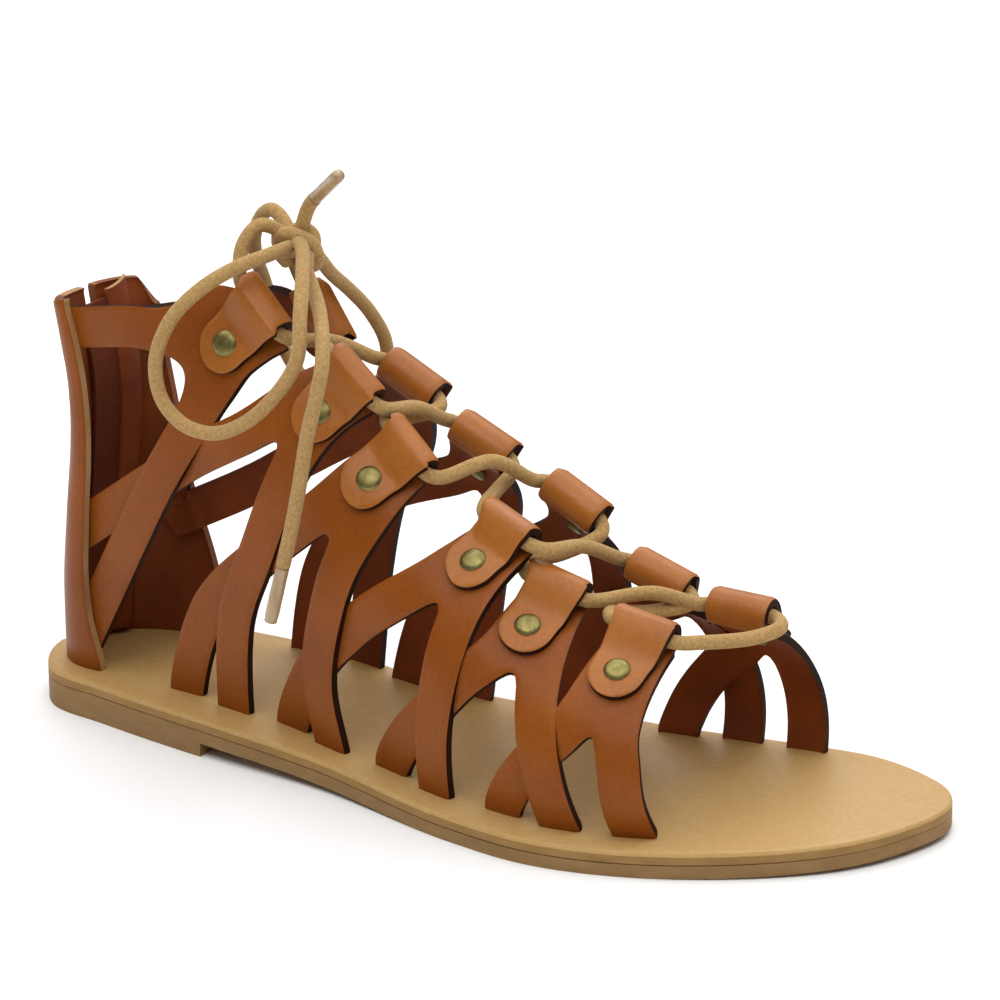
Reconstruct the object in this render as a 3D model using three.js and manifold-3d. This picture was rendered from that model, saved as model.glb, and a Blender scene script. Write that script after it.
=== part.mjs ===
// Right-foot gladiator sandal, empty and standing on its sole.
// Millimetres. +X to the toe, +Y to the inner (medial) side, +Z up; the floor is z = 0.
import * as THREE from 'three';
import { mergeVertices } from 'three/addons/utils/BufferGeometryUtils.js';
import Module from 'manifold-3d';

const wasm = await Module();
wasm.setup();

// ---- driving dimensions ----
const gap = 0.3;                 // clearance between neighbouring pieces
const soleLength = 250;
const insoleThick = 3;
const outsoleThick = 3.5;
const seatHeight = 10.25;        // insole top at the heel
const treadHeight = insoleThick + outsoleThick;
const toeSpring = 1.6;
const shankStart = -70;          // the insole starts to slope down here
const shankEnd = 20;             // and lies flat from here to springStart
const springStart = 55;
const heelBreast = -61;
const edgeRound = 0.8;           // chamfer round the insole's top edge

const leather = 2;               // strap thickness
const legWidth = 10.5;
const loopWidth = 16;
const tabPast = 7.2;             // a tab runs this far past its rivet to its rounded end
const loopOuter = 4.7;
const loopInner = 3;
const mouthRadius = 4.8;
const mouthDepth = 2.5;
const loopRise = loopOuter - leather;   // the loop's axis stands this far above the strap
const tuck = leather - 0.4;      // a rear leg runs this far inside the leg in front of it

const counterThick = 2.2;
const counterTop = 109;
const zipSlot = 0.06;            // half of the slit, as a share of the way round to a front edge
const zipBottom = 20;
const rivetHead = 3.3;
const rivetShank = 1.4;
const laceRadius = 1.8;
const agletRadius = 1.7;
const agletLength = 15;

// Sole outline: half outlines by station, heel to toe.
const outlineColumns = ['x', 'lateral', 'medial'];
const outlineRows = [
  [-115, -13.7, 24.2],
  [-95, -19.0, 33.4],
  [-60, -25.5, 34.9],
  [-20, -30.2, 30.8],
  [20, -40.7, 36.3],
  [45, -43.7, 38.4],
  [70, -38.2, 42.3],
  [95, -25.2, 43.5],
  [112, -10.7, 37.2],
  [121, 4.0, 30.1],
];
const heelBack = [-soleLength / 2, 4.5];
const toeTip = [soleLength / 2, 20];

// Last sections by station: the wall leaves the insole at foot, swells to low and high, and
// closes on the line of the loops at (ridge, top). All but x and top are distances in y.
const lastColumns = ['x', 'foot', 'low', 'high', 'ridge', 'top'];
const lastRows = {
  lateral: [
    [-112, -10.5, -14, -15, -14, 117],
    [-75, -13.5, -18.5, -20, -15, 118],
    [-57, -15.5, -21.5, -23, -11, 116.5],
    [-44, -17.5, -24, -25, -8, 110.5],
    [-26, -21.5, -28, -28, -8, 100],
    [-4, -27, -33, -32, -8, 82],
    [20, -33, -38, -36, -8, 66.5],
    [38, -35.5, -40.5, -36, -8, 54.5],
    [58, -33, -41, -35, -8, 47.5],
    [76, -27, -37, -31, -8, 44],
  ],
  medial: [
    [-112, 27, 27, 28, 20, 111],
    [-75, 33, 33, 31, 18, 111],
    [-57, 33, 35, 32, 16, 109.5],
    [-44, 31.5, 35, 32, 14, 105],
    [-26, 29.5, 35, 32, 14, 95],
    [-4, 30, 37, 34, 14, 81],
    [20, 34.5, 41, 38, 14, 70],
    [38, 36, 43, 39, 14, 59],
    [58, 38.5, 44, 38, 14, 50],
    [80, 41, 43.5, 36, 14, 46],
  ],
};

// Strap units from the ankle (1) to the toe (6): the loop's centre and direction, and the
// distance from the loop's axis to the rivet.
const unitColumns = ['n', 'x', 'y', 'z', 'ax', 'ay', 'az', 'drop'];
const unitRows = {
  lateral: [
    [1, -50.6, -9, 115.7, 12.4, -2, -11.6, 11],
    [2, -24.1, -9, 101.4, 11.7, -2, -8.7, 10.6],
    [3, -8.9, -9, 85.8, 10.5, -3, -7.8, 11.2],
    [4, 19.4, -9, 69.9, 14, -4, -4, 11.3],
    [5, 33, -9, 57.3, 14.9, 0, -3.7, 13.4],
    [6, 57.1, -9, 50.3, 15.6, 0, -2.5, 13.4],
  ],
  medial: [
    [1, -48.5, 15, 108.4, 8.9, 0, -13.8, 11],
    [2, -21.3, 15, 95.1, 14.3, 0, -7.3, 10.6],
    [3, -0.9, 15, 82.1, 11.7, 1, -6.1, 11.2],
    [4, 24.9, 15, 70.7, 14.9, 0, -7.9, 11.3],
    [5, 49, 15, 55.1, 15.9, 0, -5.4, 13.4],
    [6, 71.5, 15, 50.4, 17.1, 0, -0.4, 13.4],
  ],
};

// Each unit's strap parts into two legs. A leg's middle line passes three places (x and height)
// and stands in the insole slot at footX.
const legColumns = ['n', 'leg', 'forkX', 'forkZ', 'midX', 'midZ', 'lowX', 'lowZ', 'footX'];
const legRows = {
  lateral: [
    [2, 'front', -33.5, 84, -45, 57, -54, 36, -57.3],
    [3, 'rear', -26, 71, -46.5, 54, -65.5, 34, -74.5],
    [3, 'front', -13, 70, -21.5, 49.6, -26.6, 26, -24.6],
    [4, 'rear', 4.5, 58, -15.6, 43.3, -31.5, 25.6, -39.5],
    [4, 'front', 17, 56, 13.7, 37.6, 11.6, 22, 11],
    [5, 'rear', 26.5, 45, 12, 31, 0, 17, -5.7],
    [5, 'front', 39, 42, 42, 29.7, 45.6, 17, 48.2],
    [6, 'rear', 50.5, 34.5, 42, 24.5, 34.7, 14.2, 31],
    [6, 'front', 61.5, 33, 63.7, 24.8, 65.2, 15, 66.4],
  ],
  medial: [
    [2, 'front', -26.8, 75, -38, 57.6, -43.6, 34.3, -45.5],
    [3, 'rear', -14.2, 69, -42, 56, -58.5, 34, -63],
    [3, 'front', -1.8, 63.3, -8.1, 47.3, -11.2, 27.9, -12],
    [4, 'rear', 13.8, 57.3, -9.5, 44, -25, 27, -29.5],
    [4, 'front', 26.2, 52.4, 24.9, 37.7, 24.2, 22.2, 24],
    [5, 'rear', 43.8, 43.9, 24, 34.5, 12, 20, 8],
    [5, 'front', 56.2, 40.3, 59.1, 29.1, 60.4, 17.7, 60.8],
    [6, 'rear', 63.8, 35.5, 54, 26, 47, 15, 44.5],
    [6, 'front', 76.2, 34.6, 77.2, 25.2, 77.7, 15.8, 77.8],
  ],
};

// The heel counter by height: its back, its two sides and where its two front edges stand.
const counterColumns = ['z', 'back', 'lateral', 'medial', 'lateralFront', 'medialFront'];
const counterRows = [
  [7.6, -121, -9.5, 28.5, -103.5, -83.5],
  [20, -119.2, -12, 29, -103.5, -87.5],
  [35, -117.2, -13.8, 29, -103.8, -91.7],
  [52, -114.5, -15, 28.5, -102.2, -97],
  [74, -111.8, -15, 27.5, -100.6, -100.3],
  [88, -111.6, -15, 27, -101.2, -102.7],
  [100, -113.4, -15, 26.5, -103.2, -104.5],
  [counterTop, -114.8, -14.5, 26, -106, -108.5],
];

// ---- small tools ----
const named = (columns, rows) =>
  rows.map((row) => Object.fromEntries(columns.map((name, i) => [name, row[i]])));
const smooth = (t) => {
  const c = THREE.MathUtils.clamp(t, 0, 1);
  return c * c * (3 - 2 * c);
};
const mix = THREE.MathUtils.lerp;

// A smooth value read from a table: cubic between rows, level beyond the ends.
function reader(rows, key, value) {
  const slope = rows.map((row, i) => {
    const a = rows[Math.max(i - 1, 0)];
    const b = rows[Math.min(i + 1, rows.length - 1)];
    return (b[value] - a[value]) / (b[key] - a[key]);
  });
  return (at) => {
    const last = rows.length - 1;
    if (at <= rows[0][key]) return rows[0][value];
    if (at >= rows[last][key]) return rows[last][value];
    let i = 0;
    while (rows[i + 1][key] < at) i += 1;
    const h = rows[i + 1][key] - rows[i][key];
    const t = (at - rows[i][key]) / h;
    const a = rows[i][value];
    const b = rows[i + 1][value];
    return (2 * t ** 3 - 3 * t ** 2 + 1) * a + (t ** 3 - 2 * t ** 2 + t) * h * slope[i]
      + (3 * t ** 2 - 2 * t ** 3) * b + (t ** 3 - t ** 2) * h * slope[i + 1];
  };
}

function solid(geometry) {
  const bare = geometry.clone();
  bare.deleteAttribute('normal');
  bare.deleteAttribute('uv');
  const merged = mergeVertices(bare, 1e-4);
  return new wasm.Manifold(new wasm.Mesh({
    numProp: 3,
    vertProperties: new Float32Array(merged.attributes.position.array),
    triVerts: new Uint32Array(merged.index.array),
  }));
}

function geometryOf(body) {
  const mesh = body.getMesh();
  const geometry = new THREE.BufferGeometry();
  geometry.setAttribute('position', new THREE.BufferAttribute(mesh.vertProperties, 3));
  geometry.setIndex(new THREE.BufferAttribute(mesh.triVerts, 1));
  geometry.computeVertexNormals();
  return geometry;
}

const joined = (bodies) => bodies.reduce((a, b) => a.add(b));

// A closed skin over rings of equal count, flat fans at both ends, faces turned outwards.
function loft(rings) {
  const count = rings[0].length;
  const positions = rings.flat().flatMap((p) => [p.x, p.y, p.z]);
  const index = [];
  for (let r = 0; r + 1 < rings.length; r += 1) {
    for (let k = 0; k < count; k += 1) {
      const a = r * count + k;
      const b = r * count + ((k + 1) % count);
      index.push(a, b, b + count, a, b + count, a + count);
    }
  }
  const end = (rings.length - 1) * count;
  for (let k = 1; k + 1 < count; k += 1) {
    index.push(0, k + 1, k, end, end + k, end + k + 1);
  }
  const geometry = new THREE.BufferGeometry();
  geometry.setAttribute('position', new THREE.Float32BufferAttribute(positions, 3));
  geometry.setIndex(index);
  const body = solid(geometry);
  if (body.volume() > 0) return body;
  geometry.setIndex(index.toReversed());
  return solid(geometry);
}

// A round rod along points, with flat ends and the same number of steps between any two points.
function rod(points, radius, stepsEach = 2, sides = 8) {
  const ring = new THREE.Shape();
  ring.absarc(0, 0, radius, 0, 2 * Math.PI);
  const path = new THREE.CatmullRomCurve3(points, false, 'centripetal');
  path.getUtoTmapping = (u) => u;     // steps follow the points, not the length
  return solid(new THREE.ExtrudeGeometry(ring, {
    steps: stepsEach * (points.length - 1),
    curveSegments: sides / 2,   // a full circle takes twice this many
    bevelEnabled: false,
    extrudePath: path,
  }));
}

// ---- sole ----
const outline = (() => {
  const rows = named(outlineColumns, outlineRows);
  const points = [
    heelBack,
    ...rows.map((row) => [row.x, row.lateral]),
    toeTip,
    ...rows.toReversed().map((row) => [row.x, row.medial]),
  ].map(([x, y]) => new THREE.Vector3(x, y, 0));
  return new THREE.CatmullRomCurve3(points, true, 'centripetal').getPoints(400);
})();
const sides = (() => {
  const tip = outline.reduce((best, p, i) => (p.x > outline[best].x ? i : best), 0);
  const back = outline.reduce((best, p, i) => (p.x < outline[best].x ? i : best), 0);
  const run = (from, to) => {
    const list = [];
    for (let i = from; i !== to; i = (i + 1) % (outline.length - 1)) list.push(outline[i]);
    list.push(outline[to]);
    return list;
  };
  return { lateral: run(back, tip), medial: run(tip, back).toReversed() };
})();
const minX = sides.lateral[0].x;
const maxX = sides.lateral.at(-1).x;

function outlineY(side, x) {
  const list = sides[side];
  let i = 0;
  while (i + 2 < list.length && list[i + 1].x < x) i += 1;
  const t = THREE.MathUtils.clamp((x - list[i].x) / (list[i + 1].x - list[i].x), 0, 1);
  return mix(list[i].y, list[i + 1].y, t);
}

function soleTop(x) {
  const slope = smooth((x - shankStart) / (shankEnd - shankStart));
  const spring = THREE.MathUtils.clamp((x - springStart) / (soleLength / 2 - springStart), 0, 1);
  return mix(seatHeight, treadHeight, slope) + toeSpring * spring * spring;
}

// A plate of the sole's outline between two heights, lofted along x from start to end.
function plate(low, high, { start = minX, end = maxX, stations = 26, round = 0 }) {
  const rings = [];
  for (let i = 0; i <= stations; i += 1) {
    const t = i / stations;
    const eased = (1 - Math.cos(Math.PI * t)) / 2;
    const x = mix(start, end, mix(t, eased, 0.8));
    const inside = THREE.MathUtils.clamp(x, minX + 0.05, maxX - 0.05);
    const a = outlineY('lateral', inside);
    const b = outlineY('medial', inside);
    const edge = Math.min(round, (b - a) / 4);
    const lo = low(x);
    const hi = high(x);
    rings.push([
      new THREE.Vector3(x, a, lo),
      new THREE.Vector3(x, b, lo),
      new THREE.Vector3(x, b, hi - round),
      new THREE.Vector3(x, b - edge, hi),
      new THREE.Vector3(x, a + edge, hi),
      new THREE.Vector3(x, a, hi - round),
    ]);
  }
  return loft(rings);
}

// ---- last surface ----
const lasts = Object.fromEntries(['lateral', 'medial'].map((side) => {
  const rows = named(lastColumns, lastRows[side]);
  const read = Object.fromEntries(
    lastColumns.slice(1).map((name) => [name, reader(rows, 'x', name)]),
  );
  return [side, read];
}));

// A point of the last: x along the shoe, q from 0 at the insole to 1 on the line of loops.
function lastPoint(side, x, q) {
  const last = lasts[side];
  const foot = soleTop(x);
  const rise = last.top(x) - foot;
  const ys = [last.foot(x), last.low(x), last.high(x), last.ridge(x)];
  const zs = [foot, foot + 0.36 * rise, foot + 0.8 * rise, last.top(x)];
  const p = 1 - q;
  const weigh = (v) => p ** 3 * v[0] + 3 * p * p * q * v[1] + 3 * p * q * q * v[2] + q ** 3 * v[3];
  return new THREE.Vector3(x, weigh(ys), weigh(zs));
}

function loopFrame(side, unit) {
  const centre = new THREE.Vector3(unit.x, unit.y, unit.z);
  const axis = new THREE.Vector3(unit.ax, unit.ay, unit.az).normalize();
  return { centre, axis };
}

// The last as one strap lies on it: near the top it turns to pass just under that strap's loop.
function strapPoint(side, unit, x, q) {
  const { centre, axis } = loopFrame(side, unit);
  const lean = side === 'lateral' ? 1 : -1;
  const below = new THREE.Vector3(0, lean * loopRise * 0.4, -loopRise * 0.92);
  const reach = loopWidth / 2 * axis.x;
  const near = THREE.MathUtils.clamp(x, centre.x - reach, centre.x + reach);
  const onAxis = centre.clone().add(below).addScaledVector(axis, (near - centre.x) / axis.x);
  const shift = onAxis.sub(lastPoint(side, near, 1));
  const fade = smooth(1 - (Math.abs(x - near) - 4) / 20);
  return lastPoint(side, x, q).addScaledVector(shift, fade * smooth((q - 0.45) / 0.55));
}

function outward(side, unit, x, q) {
  const d = 0.01;
  const alongX = strapPoint(side, unit, x + 1, q).sub(strapPoint(side, unit, x - 1, q));
  const alongQ = strapPoint(side, unit, x, Math.min(q + d, 1)).sub(
    strapPoint(side, unit, x, Math.max(q - d, 0)),
  );
  const normal = alongQ.cross(alongX).normalize();
  return side === 'lateral' ? normal.negate() : normal;
}

function heightToQ(side, unit, x, z) {
  let low = 0;
  let high = 1;
  for (let i = 0; i < 24; i += 1) {
    const q = (low + high) / 2;
    if (strapPoint(side, unit, x, q).z < z) low = q;
    else high = q;
  }
  return (low + high) / 2;
}

// A band of leather along (x, q) knots on the last. Each knot's lift moves it along the normal.
function band(side, unit, knots, widths, thick, steps, grow = 0) {
  const places = knots.map(([x, q, lift = 0]) => {
    const n = outward(side, unit, x, Math.max(q, 0));
    const p = strapPoint(side, unit, x, Math.max(q, 0)).addScaledVector(n, lift);
    if (q < 0) p.z += q * 100;     // below the insole's top the band drops straight
    return { p, n };
  });
  const line = new THREE.CatmullRomCurve3(places.map((k) => k.p), false, 'centripetal');
  const turn = new THREE.CatmullRomCurve3(places.map((k) => k.n), false, 'centripetal');
  const rings = [];
  for (let i = 0; i <= steps; i += 1) {
    const t = i / steps;
    const along = line.getTangent(t);
    const normal = turn.getPoint(t).normalize();
    const across = along.clone().cross(normal).normalize();
    const half = widths(t) / 2 + grow;
    const up = normal.clone().sub(along.clone().multiplyScalar(normal.dot(along))).normalize();
    const at = line.getPoint(t);
    const corner = (s, h) => at.clone().addScaledVector(across, s * half).addScaledVector(up, h);
    rings.push([corner(-1, grow), corner(1, grow), corner(1, -thick - grow), corner(-1, -thick - grow)]);
  }
  return loft(rings);
}

// ---- strap lattice ----
const legOffset = (loopWidth - legWidth) / 2;
const legSteps = 8;
const steady = (width) => () => width;
const slotRoom = 0.7;           // round a leg in its slot, because legs arrive at a slant
const slotDepth = (insoleThick - 0.2) / 100;    // below the insole's top, q counts 100 mm to one

// (x, q) where a strap lies at a distance from its top edge, square to its loop's axis.
function belowLoop(side, unit, distance, alongAxis = 0) {
  const { centre, axis } = loopFrame(side, unit);
  const from = strapPoint(side, unit, centre.x + alongAxis * axis.x, 1);
  const down = strapPoint(side, unit, centre.x, 0.8).sub(strapPoint(side, unit, centre.x, 1));
  down.addScaledVector(axis, -down.dot(axis)).normalize();
  const x = from.x + down.x * distance;
  let low = 0.2;
  let high = 1;
  for (let i = 0; i < 24; i += 1) {
    const q = (low + high) / 2;
    if (strapPoint(side, unit, x, q).distanceTo(from) > distance) low = q;
    else high = q;
  }
  return [x, (low + high) / 2];
}

function legKnots(side, unit, leg) {
  const sign = leg === 'front' ? 1 : -1;
  const under = leg === 'rear' && unit.n > 1 ? -tuck : 0;
  const row = (rows) => rows[side].find((one) => one.n === unit.n && one.leg === leg);
  const at = (x, z, lift) => [x, heightToQ(side, unit, x, z), lift];
  const top = belowLoop(side, unit, 0, sign * legOffset);
  const end = row(counterLegs);
  if (end) {
    const hidden = -(counterThick + gap + 0.2);
    return [
      top, at(end.viaX, end.viaZ, 0), at(end.midX, end.midZ, under),
      at(end.edgeX, end.edgeZ, hidden), at(end.endX, end.endZ, hidden),
    ];
  }
  const { forkX, forkZ, midX, midZ, lowX, lowZ, footX } = row(slotLegs);
  return [
    top, at(forkX, forkZ, 0), at(midX, midZ, under), at(lowX, lowZ, under),
    [footX, 0, under], [footX, -slotDepth, under],
  ];
}

function loopRoll(side, unit) {
  const { centre, axis } = loopFrame(side, unit);
  const roll = new THREE.CylinderGeometry(loopOuter, loopOuter, loopWidth, 10);
  const turn = new THREE.Quaternion().setFromUnitVectors(new THREE.Vector3(0, 1, 0), axis);
  return solid(placed(roll, { at: centre, turn }));
}

// The way through a loop, kept open for the lace, with flared mouths where the lace turns.
function loopBore(side, unit) {
  const { centre, axis } = loopFrame(side, unit);
  const half = loopWidth / 2;
  const profile = [
    [0, -half - 1], [mouthRadius, -half - 1], [loopInner, -half + mouthDepth],
    [loopInner, half - mouthDepth], [mouthRadius, half + 1], [0, half + 1],
  ].map(([r, h]) => new THREE.Vector2(r, h));
  const turn = new THREE.Quaternion().setFromUnitVectors(new THREE.Vector3(0, 1, 0), axis);
  return solid(placed(new THREE.LatheGeometry(profile, 10), { at: centre, turn }));
}

// The fold of leather that comes back over the strap, with its round end and its rivet.
function tabBand(side, unit) {
  const flat = unit.drop - rivetHead - 0.2;     // from here on the tab lies flat on the strap
  const top = loopOuter + loopRise;
  const stops = [0, 0.42 * flat, 0.75 * flat, flat, unit.drop, unit.drop + tabPast];
  const lifts = [top, top - 0.8, top / 2, leather, leather, leather];
  const knots = stops.map((distance, i) => [...belowLoop(side, unit, distance), lifts[i]]);
  const end = loopWidth / 2;
  const width = (t) => {
    const left = (1 - t) * (unit.drop + tabPast + 3);
    if (left >= end) return loopWidth;
    return Math.max(2 * Math.sqrt(Math.max(end ** 2 - (end - left) ** 2, 0)), 5);
  };
  return band(side, unit, knots, width, leather + 0.2, 7);
}

function rivetPlace(side, unit) {
  const [x, q] = belowLoop(side, unit, unit.drop);
  const normal = outward(side, unit, x, q);
  const at = strapPoint(side, unit, x, q).addScaledVector(normal, leather);
  return { at, turn: new THREE.Quaternion().setFromUnitVectors(new THREE.Vector3(0, 1, 0), normal) };
}

function placed(geometry, { at, turn }) {
  return geometry.applyQuaternion(turn).translate(at.x, at.y, at.z);
}

const rivetSides = 8;
const washerRadius = 2.4;
const washerTop = -2 * leather - 0.6;
function rivetGeometry(place) {
  const profile = [
    [0, washerTop - 0.7], [washerRadius, washerTop - 0.7], [washerRadius, washerTop],
    [rivetShank, washerTop], [rivetShank, gap],
    [rivetHead, gap], [rivetHead * 0.8, 1.2], [0, 1.8],
  ].map(([r, h]) => new THREE.Vector2(r, h));
  return placed(new THREE.LatheGeometry(profile, rivetSides), place);
}

// The bore for the shank, with a flat seat for the head outside and for the washer inside.
function rivetHole(place) {
  const cylinder = (radius, from, to) => solid(placed(
    new THREE.CylinderGeometry(radius, radius, to - from, rivetSides).translate(0, (from + to) / 2, 0),
    place,
  ));
  return joined([
    cylinder(rivetShank + gap, -6, 6),
    cylinder(rivetHead + gap, 0, 5),
    cylinder(washerRadius + gap, -9, washerTop + gap),
  ]);
}

// Legs that end behind the heel counter instead of in the insole.
const counterLegColumns = ['n', 'leg', 'viaX', 'viaZ', 'midX', 'midZ', 'edgeX', 'edgeZ', 'endX', 'endZ'];
const counterLegRows = {
  lateral: [
    [1, 'rear', -66, 111, -86, 107.5, -104, 103.8, -110, 103],
    [1, 'front', -60.5, 95, -79, 65.5, -104, 25, -109, 16.5],
    [2, 'rear', -50, 86, -72.4, 72.7, -102, 51.8, -108, 47.5],
  ],
  medial: [
    [1, 'rear', -66, 104.5, -84, 101, -104.5, 97, -110, 96],
    [1, 'front', -70, 99.5, -86, 85.5, -98.5, 61, -104, 48],
    [2, 'rear', -44, 76, -71, 59.3, -95, 46, -103.5, 42],
  ],
};
const bySide = (columns, rows) => Object.fromEntries(['lateral', 'medial'].map(
  (side) => [side, named(columns, rows[side])],
));
const counterLegs = bySide(counterLegColumns, counterLegRows);
const slotLegs = bySide(legColumns, legRows);

function lattice(side) {
  const parts = [];
  const places = [];
  const bores = [];
  for (const unit of named(unitColumns, unitRows[side])) {
    for (const leg of ['front', 'rear']) {
      parts.push(band(side, unit, legKnots(side, unit, leg), steady(legWidth), leather, legSteps));
    }
    parts.push(loopRoll(side, unit), tabBand(side, unit));
    places.push(rivetPlace(side, unit));
    bores.push(loopBore(side, unit), rivetHole(places.at(-1)));
  }
  return { body: joined(parts).subtract(joined(bores)), places };
}

// ---- heel counter and zip ----
const counterTable = named(counterColumns, counterRows);
const counterAt = Object.fromEntries(counterColumns.slice(1).map(
  (name) => [name, reader(counterTable, 'z', name)],
));
const counterFoot = counterTable[0].z;
// The top edge is a little higher on the outer side and rounded off at the inner front corner.
const counterCrest = (s) => counterTop - 2 * s - 6 * smooth((s - 0.7) / 0.3);
const squareness = 2 / 2.3;

// s runs from -1 at the lateral front edge, round the back at 0, to 1 at the medial front edge.
function counterPoint(z, s, offset = 0) {
  const at = (t) => {
    const side = t < 0 ? counterAt.lateral(z) : counterAt.medial(z);
    const front = t < 0 ? counterAt.lateralFront(z) : counterAt.medialFront(z);
    const middle = (counterAt.lateral(z) + counterAt.medial(z)) / 2;
    const angle = (1 - Math.min(Math.abs(t), 1)) * Math.PI / 2;
    const back = counterAt.back(z);
    const past = Math.max(Math.abs(t) - 1, 0) * 50;
    return new THREE.Vector3(
      front + past - (front - back) * Math.sin(angle) ** squareness,
      middle + (side - middle) * Math.cos(angle) ** squareness,
      z,
    );
  };
  const along = at(s + 0.02).sub(at(s - 0.02));
  const normal = new THREE.Vector3(-along.y, along.x, 0).normalize();
  if (normal.x > 0 && Math.abs(s) < 0.6) normal.negate();
  if (Math.abs(s) >= 0.6 && Math.sign(normal.y) !== Math.sign(s)) normal.negate();
  return at(s).addScaledVector(normal, offset);
}

// A wall between two grids of points, closed along its four borders.
function wall(outer, inner) {
  const rows = outer.length;
  const count = outer[0].length;
  const positions = [...outer.flat(), ...inner.flat()].flatMap((p) => [p.x, p.y, p.z]);
  const index = [];
  const quad = (a, b, c, d) => index.push(a, b, c, a, c, d);
  const o = (r, k) => r * count + k;
  const n = (r, k) => rows * count + r * count + k;
  for (let r = 0; r + 1 < rows; r += 1) {
    for (let k = 0; k + 1 < count; k += 1) {
      quad(o(r, k), o(r, k + 1), o(r + 1, k + 1), o(r + 1, k));
      quad(n(r, k), n(r + 1, k), n(r + 1, k + 1), n(r, k + 1));
    }
    quad(o(r, 0), o(r + 1, 0), n(r + 1, 0), n(r, 0));
    quad(o(r, count - 1), n(r, count - 1), n(r + 1, count - 1), o(r + 1, count - 1));
  }
  for (let k = 0; k + 1 < count; k += 1) {
    quad(o(0, k), n(0, k), n(0, k + 1), o(0, k + 1));
    quad(o(rows - 1, k), o(rows - 1, k + 1), n(rows - 1, k + 1), n(rows - 1, k));
  }
  const geometry = new THREE.BufferGeometry();
  geometry.setAttribute('position', new THREE.Float32BufferAttribute(positions, 3));
  geometry.setIndex(index);
  const body = solid(geometry);
  if (body.volume() > 0) return body;
  geometry.setIndex(index.toReversed());
  return solid(geometry);
}

function counterBand({ bottom, top, from, to, outer, inner, heights, turns }) {
  const grid = (offset) => Array.from({ length: heights + 1 }, (_, r) => (
    Array.from({ length: turns + 1 }, (__, k) => {
      const s = mix(from, to, k / turns);
      return counterPoint(mix(bottom, top(s), r / heights), s, offset);
    })
  ));
  return wall(grid(outer), grid(inner));
}

function box(x0, x1, y0, y1, z0, z1) {
  const geometry = new THREE.BoxGeometry(x1 - x0, y1 - y0, z1 - z0);
  return solid(geometry.translate((x0 + x1) / 2, (y0 + y1) / 2, (z0 + z1) / 2));
}

function counterBody() {
  const shell = counterBand({
    bottom: counterFoot - 0.4, top: counterCrest, from: -1, to: 1, outer: 0, inner: -counterThick,
    heights: 8, turns: 18,
  });
  const slit = counterBand({
    bottom: zipBottom, top: () => counterTop + 1, from: -zipSlot, to: zipSlot, outer: 2,
    inner: -counterThick - 2, heights: 8, turns: 2,
  });
  return shell.subtract(slit);
}
const counterCavity = (grow) => counterBand({
  bottom: counterFoot - 2, top: () => counterTop + 3, from: -1.01, to: 1.01, outer: grow,
  inner: -counterThick - grow, heights: 10, turns: 18,
});

// The zip: tape and chain in one piece behind the slit, and a slider that stays near the top.
function zipBody() {
  const inner = -counterThick - 2 * gap;
  const tape = counterBand({
    bottom: 16, top: () => counterTop - 4, from: -0.16, to: 0.16, outer: inner, inner: inner - 0.9,
    heights: 10, turns: 4,
  });
  const chain = counterBand({
    bottom: zipBottom + 1, top: () => counterTop - 5, from: -0.035, to: 0.035, outer: -0.5,
    inner: inner - 0.4, heights: 10, turns: 2,
  });
  return tape.add(chain);
}

const sliderZ = 97;
const sliderX = counterAt.back(sliderZ + 5);
const zipY = (counterAt.lateral(sliderZ) + counterAt.medial(sliderZ)) / 2;
const pinX = sliderX - 4.2;
const pinZ = sliderZ + 2;
const pinRadius = 0.7;
const pullWidth = 5.6;
function across(radius, width, segments = 12) {
  return solid(new THREE.CylinderGeometry(radius, radius, width, segments).translate(pinX, zipY, pinZ));
}
function sliderBody() {
  const plateBody = box(sliderX - 1.8, sliderX - 0.5, zipY - 4.2, zipY + 4.2, sliderZ - 5, sliderZ + 5);
  const foot = box(sliderX - 1, sliderX - 0.2, zipY - 1.8, zipY + 1.8, sliderZ - 4, sliderZ + 4);
  const lug = (y) => box(pinX - 1.2, sliderX - 1, y, y + 1, pinZ - 1.4, pinZ + 1.4);
  const lugs = lug(zipY + 3.2).add(lug(zipY - 4.2));
  return joined([plateBody, foot, lugs, across(pinRadius, 8)]);
}
const pullLength = 20;
function pullBody() {
  const blade = box(pinX - 0.6, pinX + 0.6, zipY - pullWidth / 2, zipY + pullWidth / 2,
    pinZ - pullLength, pinZ);
  const tip = solid(new THREE.CylinderGeometry(pullWidth / 2, pullWidth / 2, 1.2, 16)
    .rotateZ(Math.PI / 2).translate(pinX, zipY, pinZ - pullLength));
  const barrel = across(1.8, pullWidth);
  return joined([blade, tip, barrel]).subtract(across(pinRadius + gap, 12));
}

// ---- lace ----
const units = Object.fromEntries(['lateral', 'medial'].map(
  (side) => [side, named(unitColumns, unitRows[side])],
));
const laceTurn = 3;
const laceExit = 2.8;          // the lace turns this far past a loop's end
// The middle of each crossing is raised by this much, by the unit that it comes down from. The
// run that starts on the inner side passes over the other.
const crossingRise = {
  medial: { 6: 3, 5: 2, 4: 5, 3: 1.8, 2: 2 },
  lateral: { 6: -1.5, 5: -1.8, 4: -1.5, 3: -2, 2: -2 },
};
function loopEnd(side, n, past) {
  const { centre, axis } = loopFrame(side, units[side][n - 1]);
  return centre.addScaledVector(axis, past);
}
const crossingUp = new THREE.Vector3(0.35, 0, 0.93);
const knotCentre = new THREE.Vector3(-46.2, 3, 128.8);
const knotRadii = new THREE.Vector3(7.5, 6, 5.5);

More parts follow.
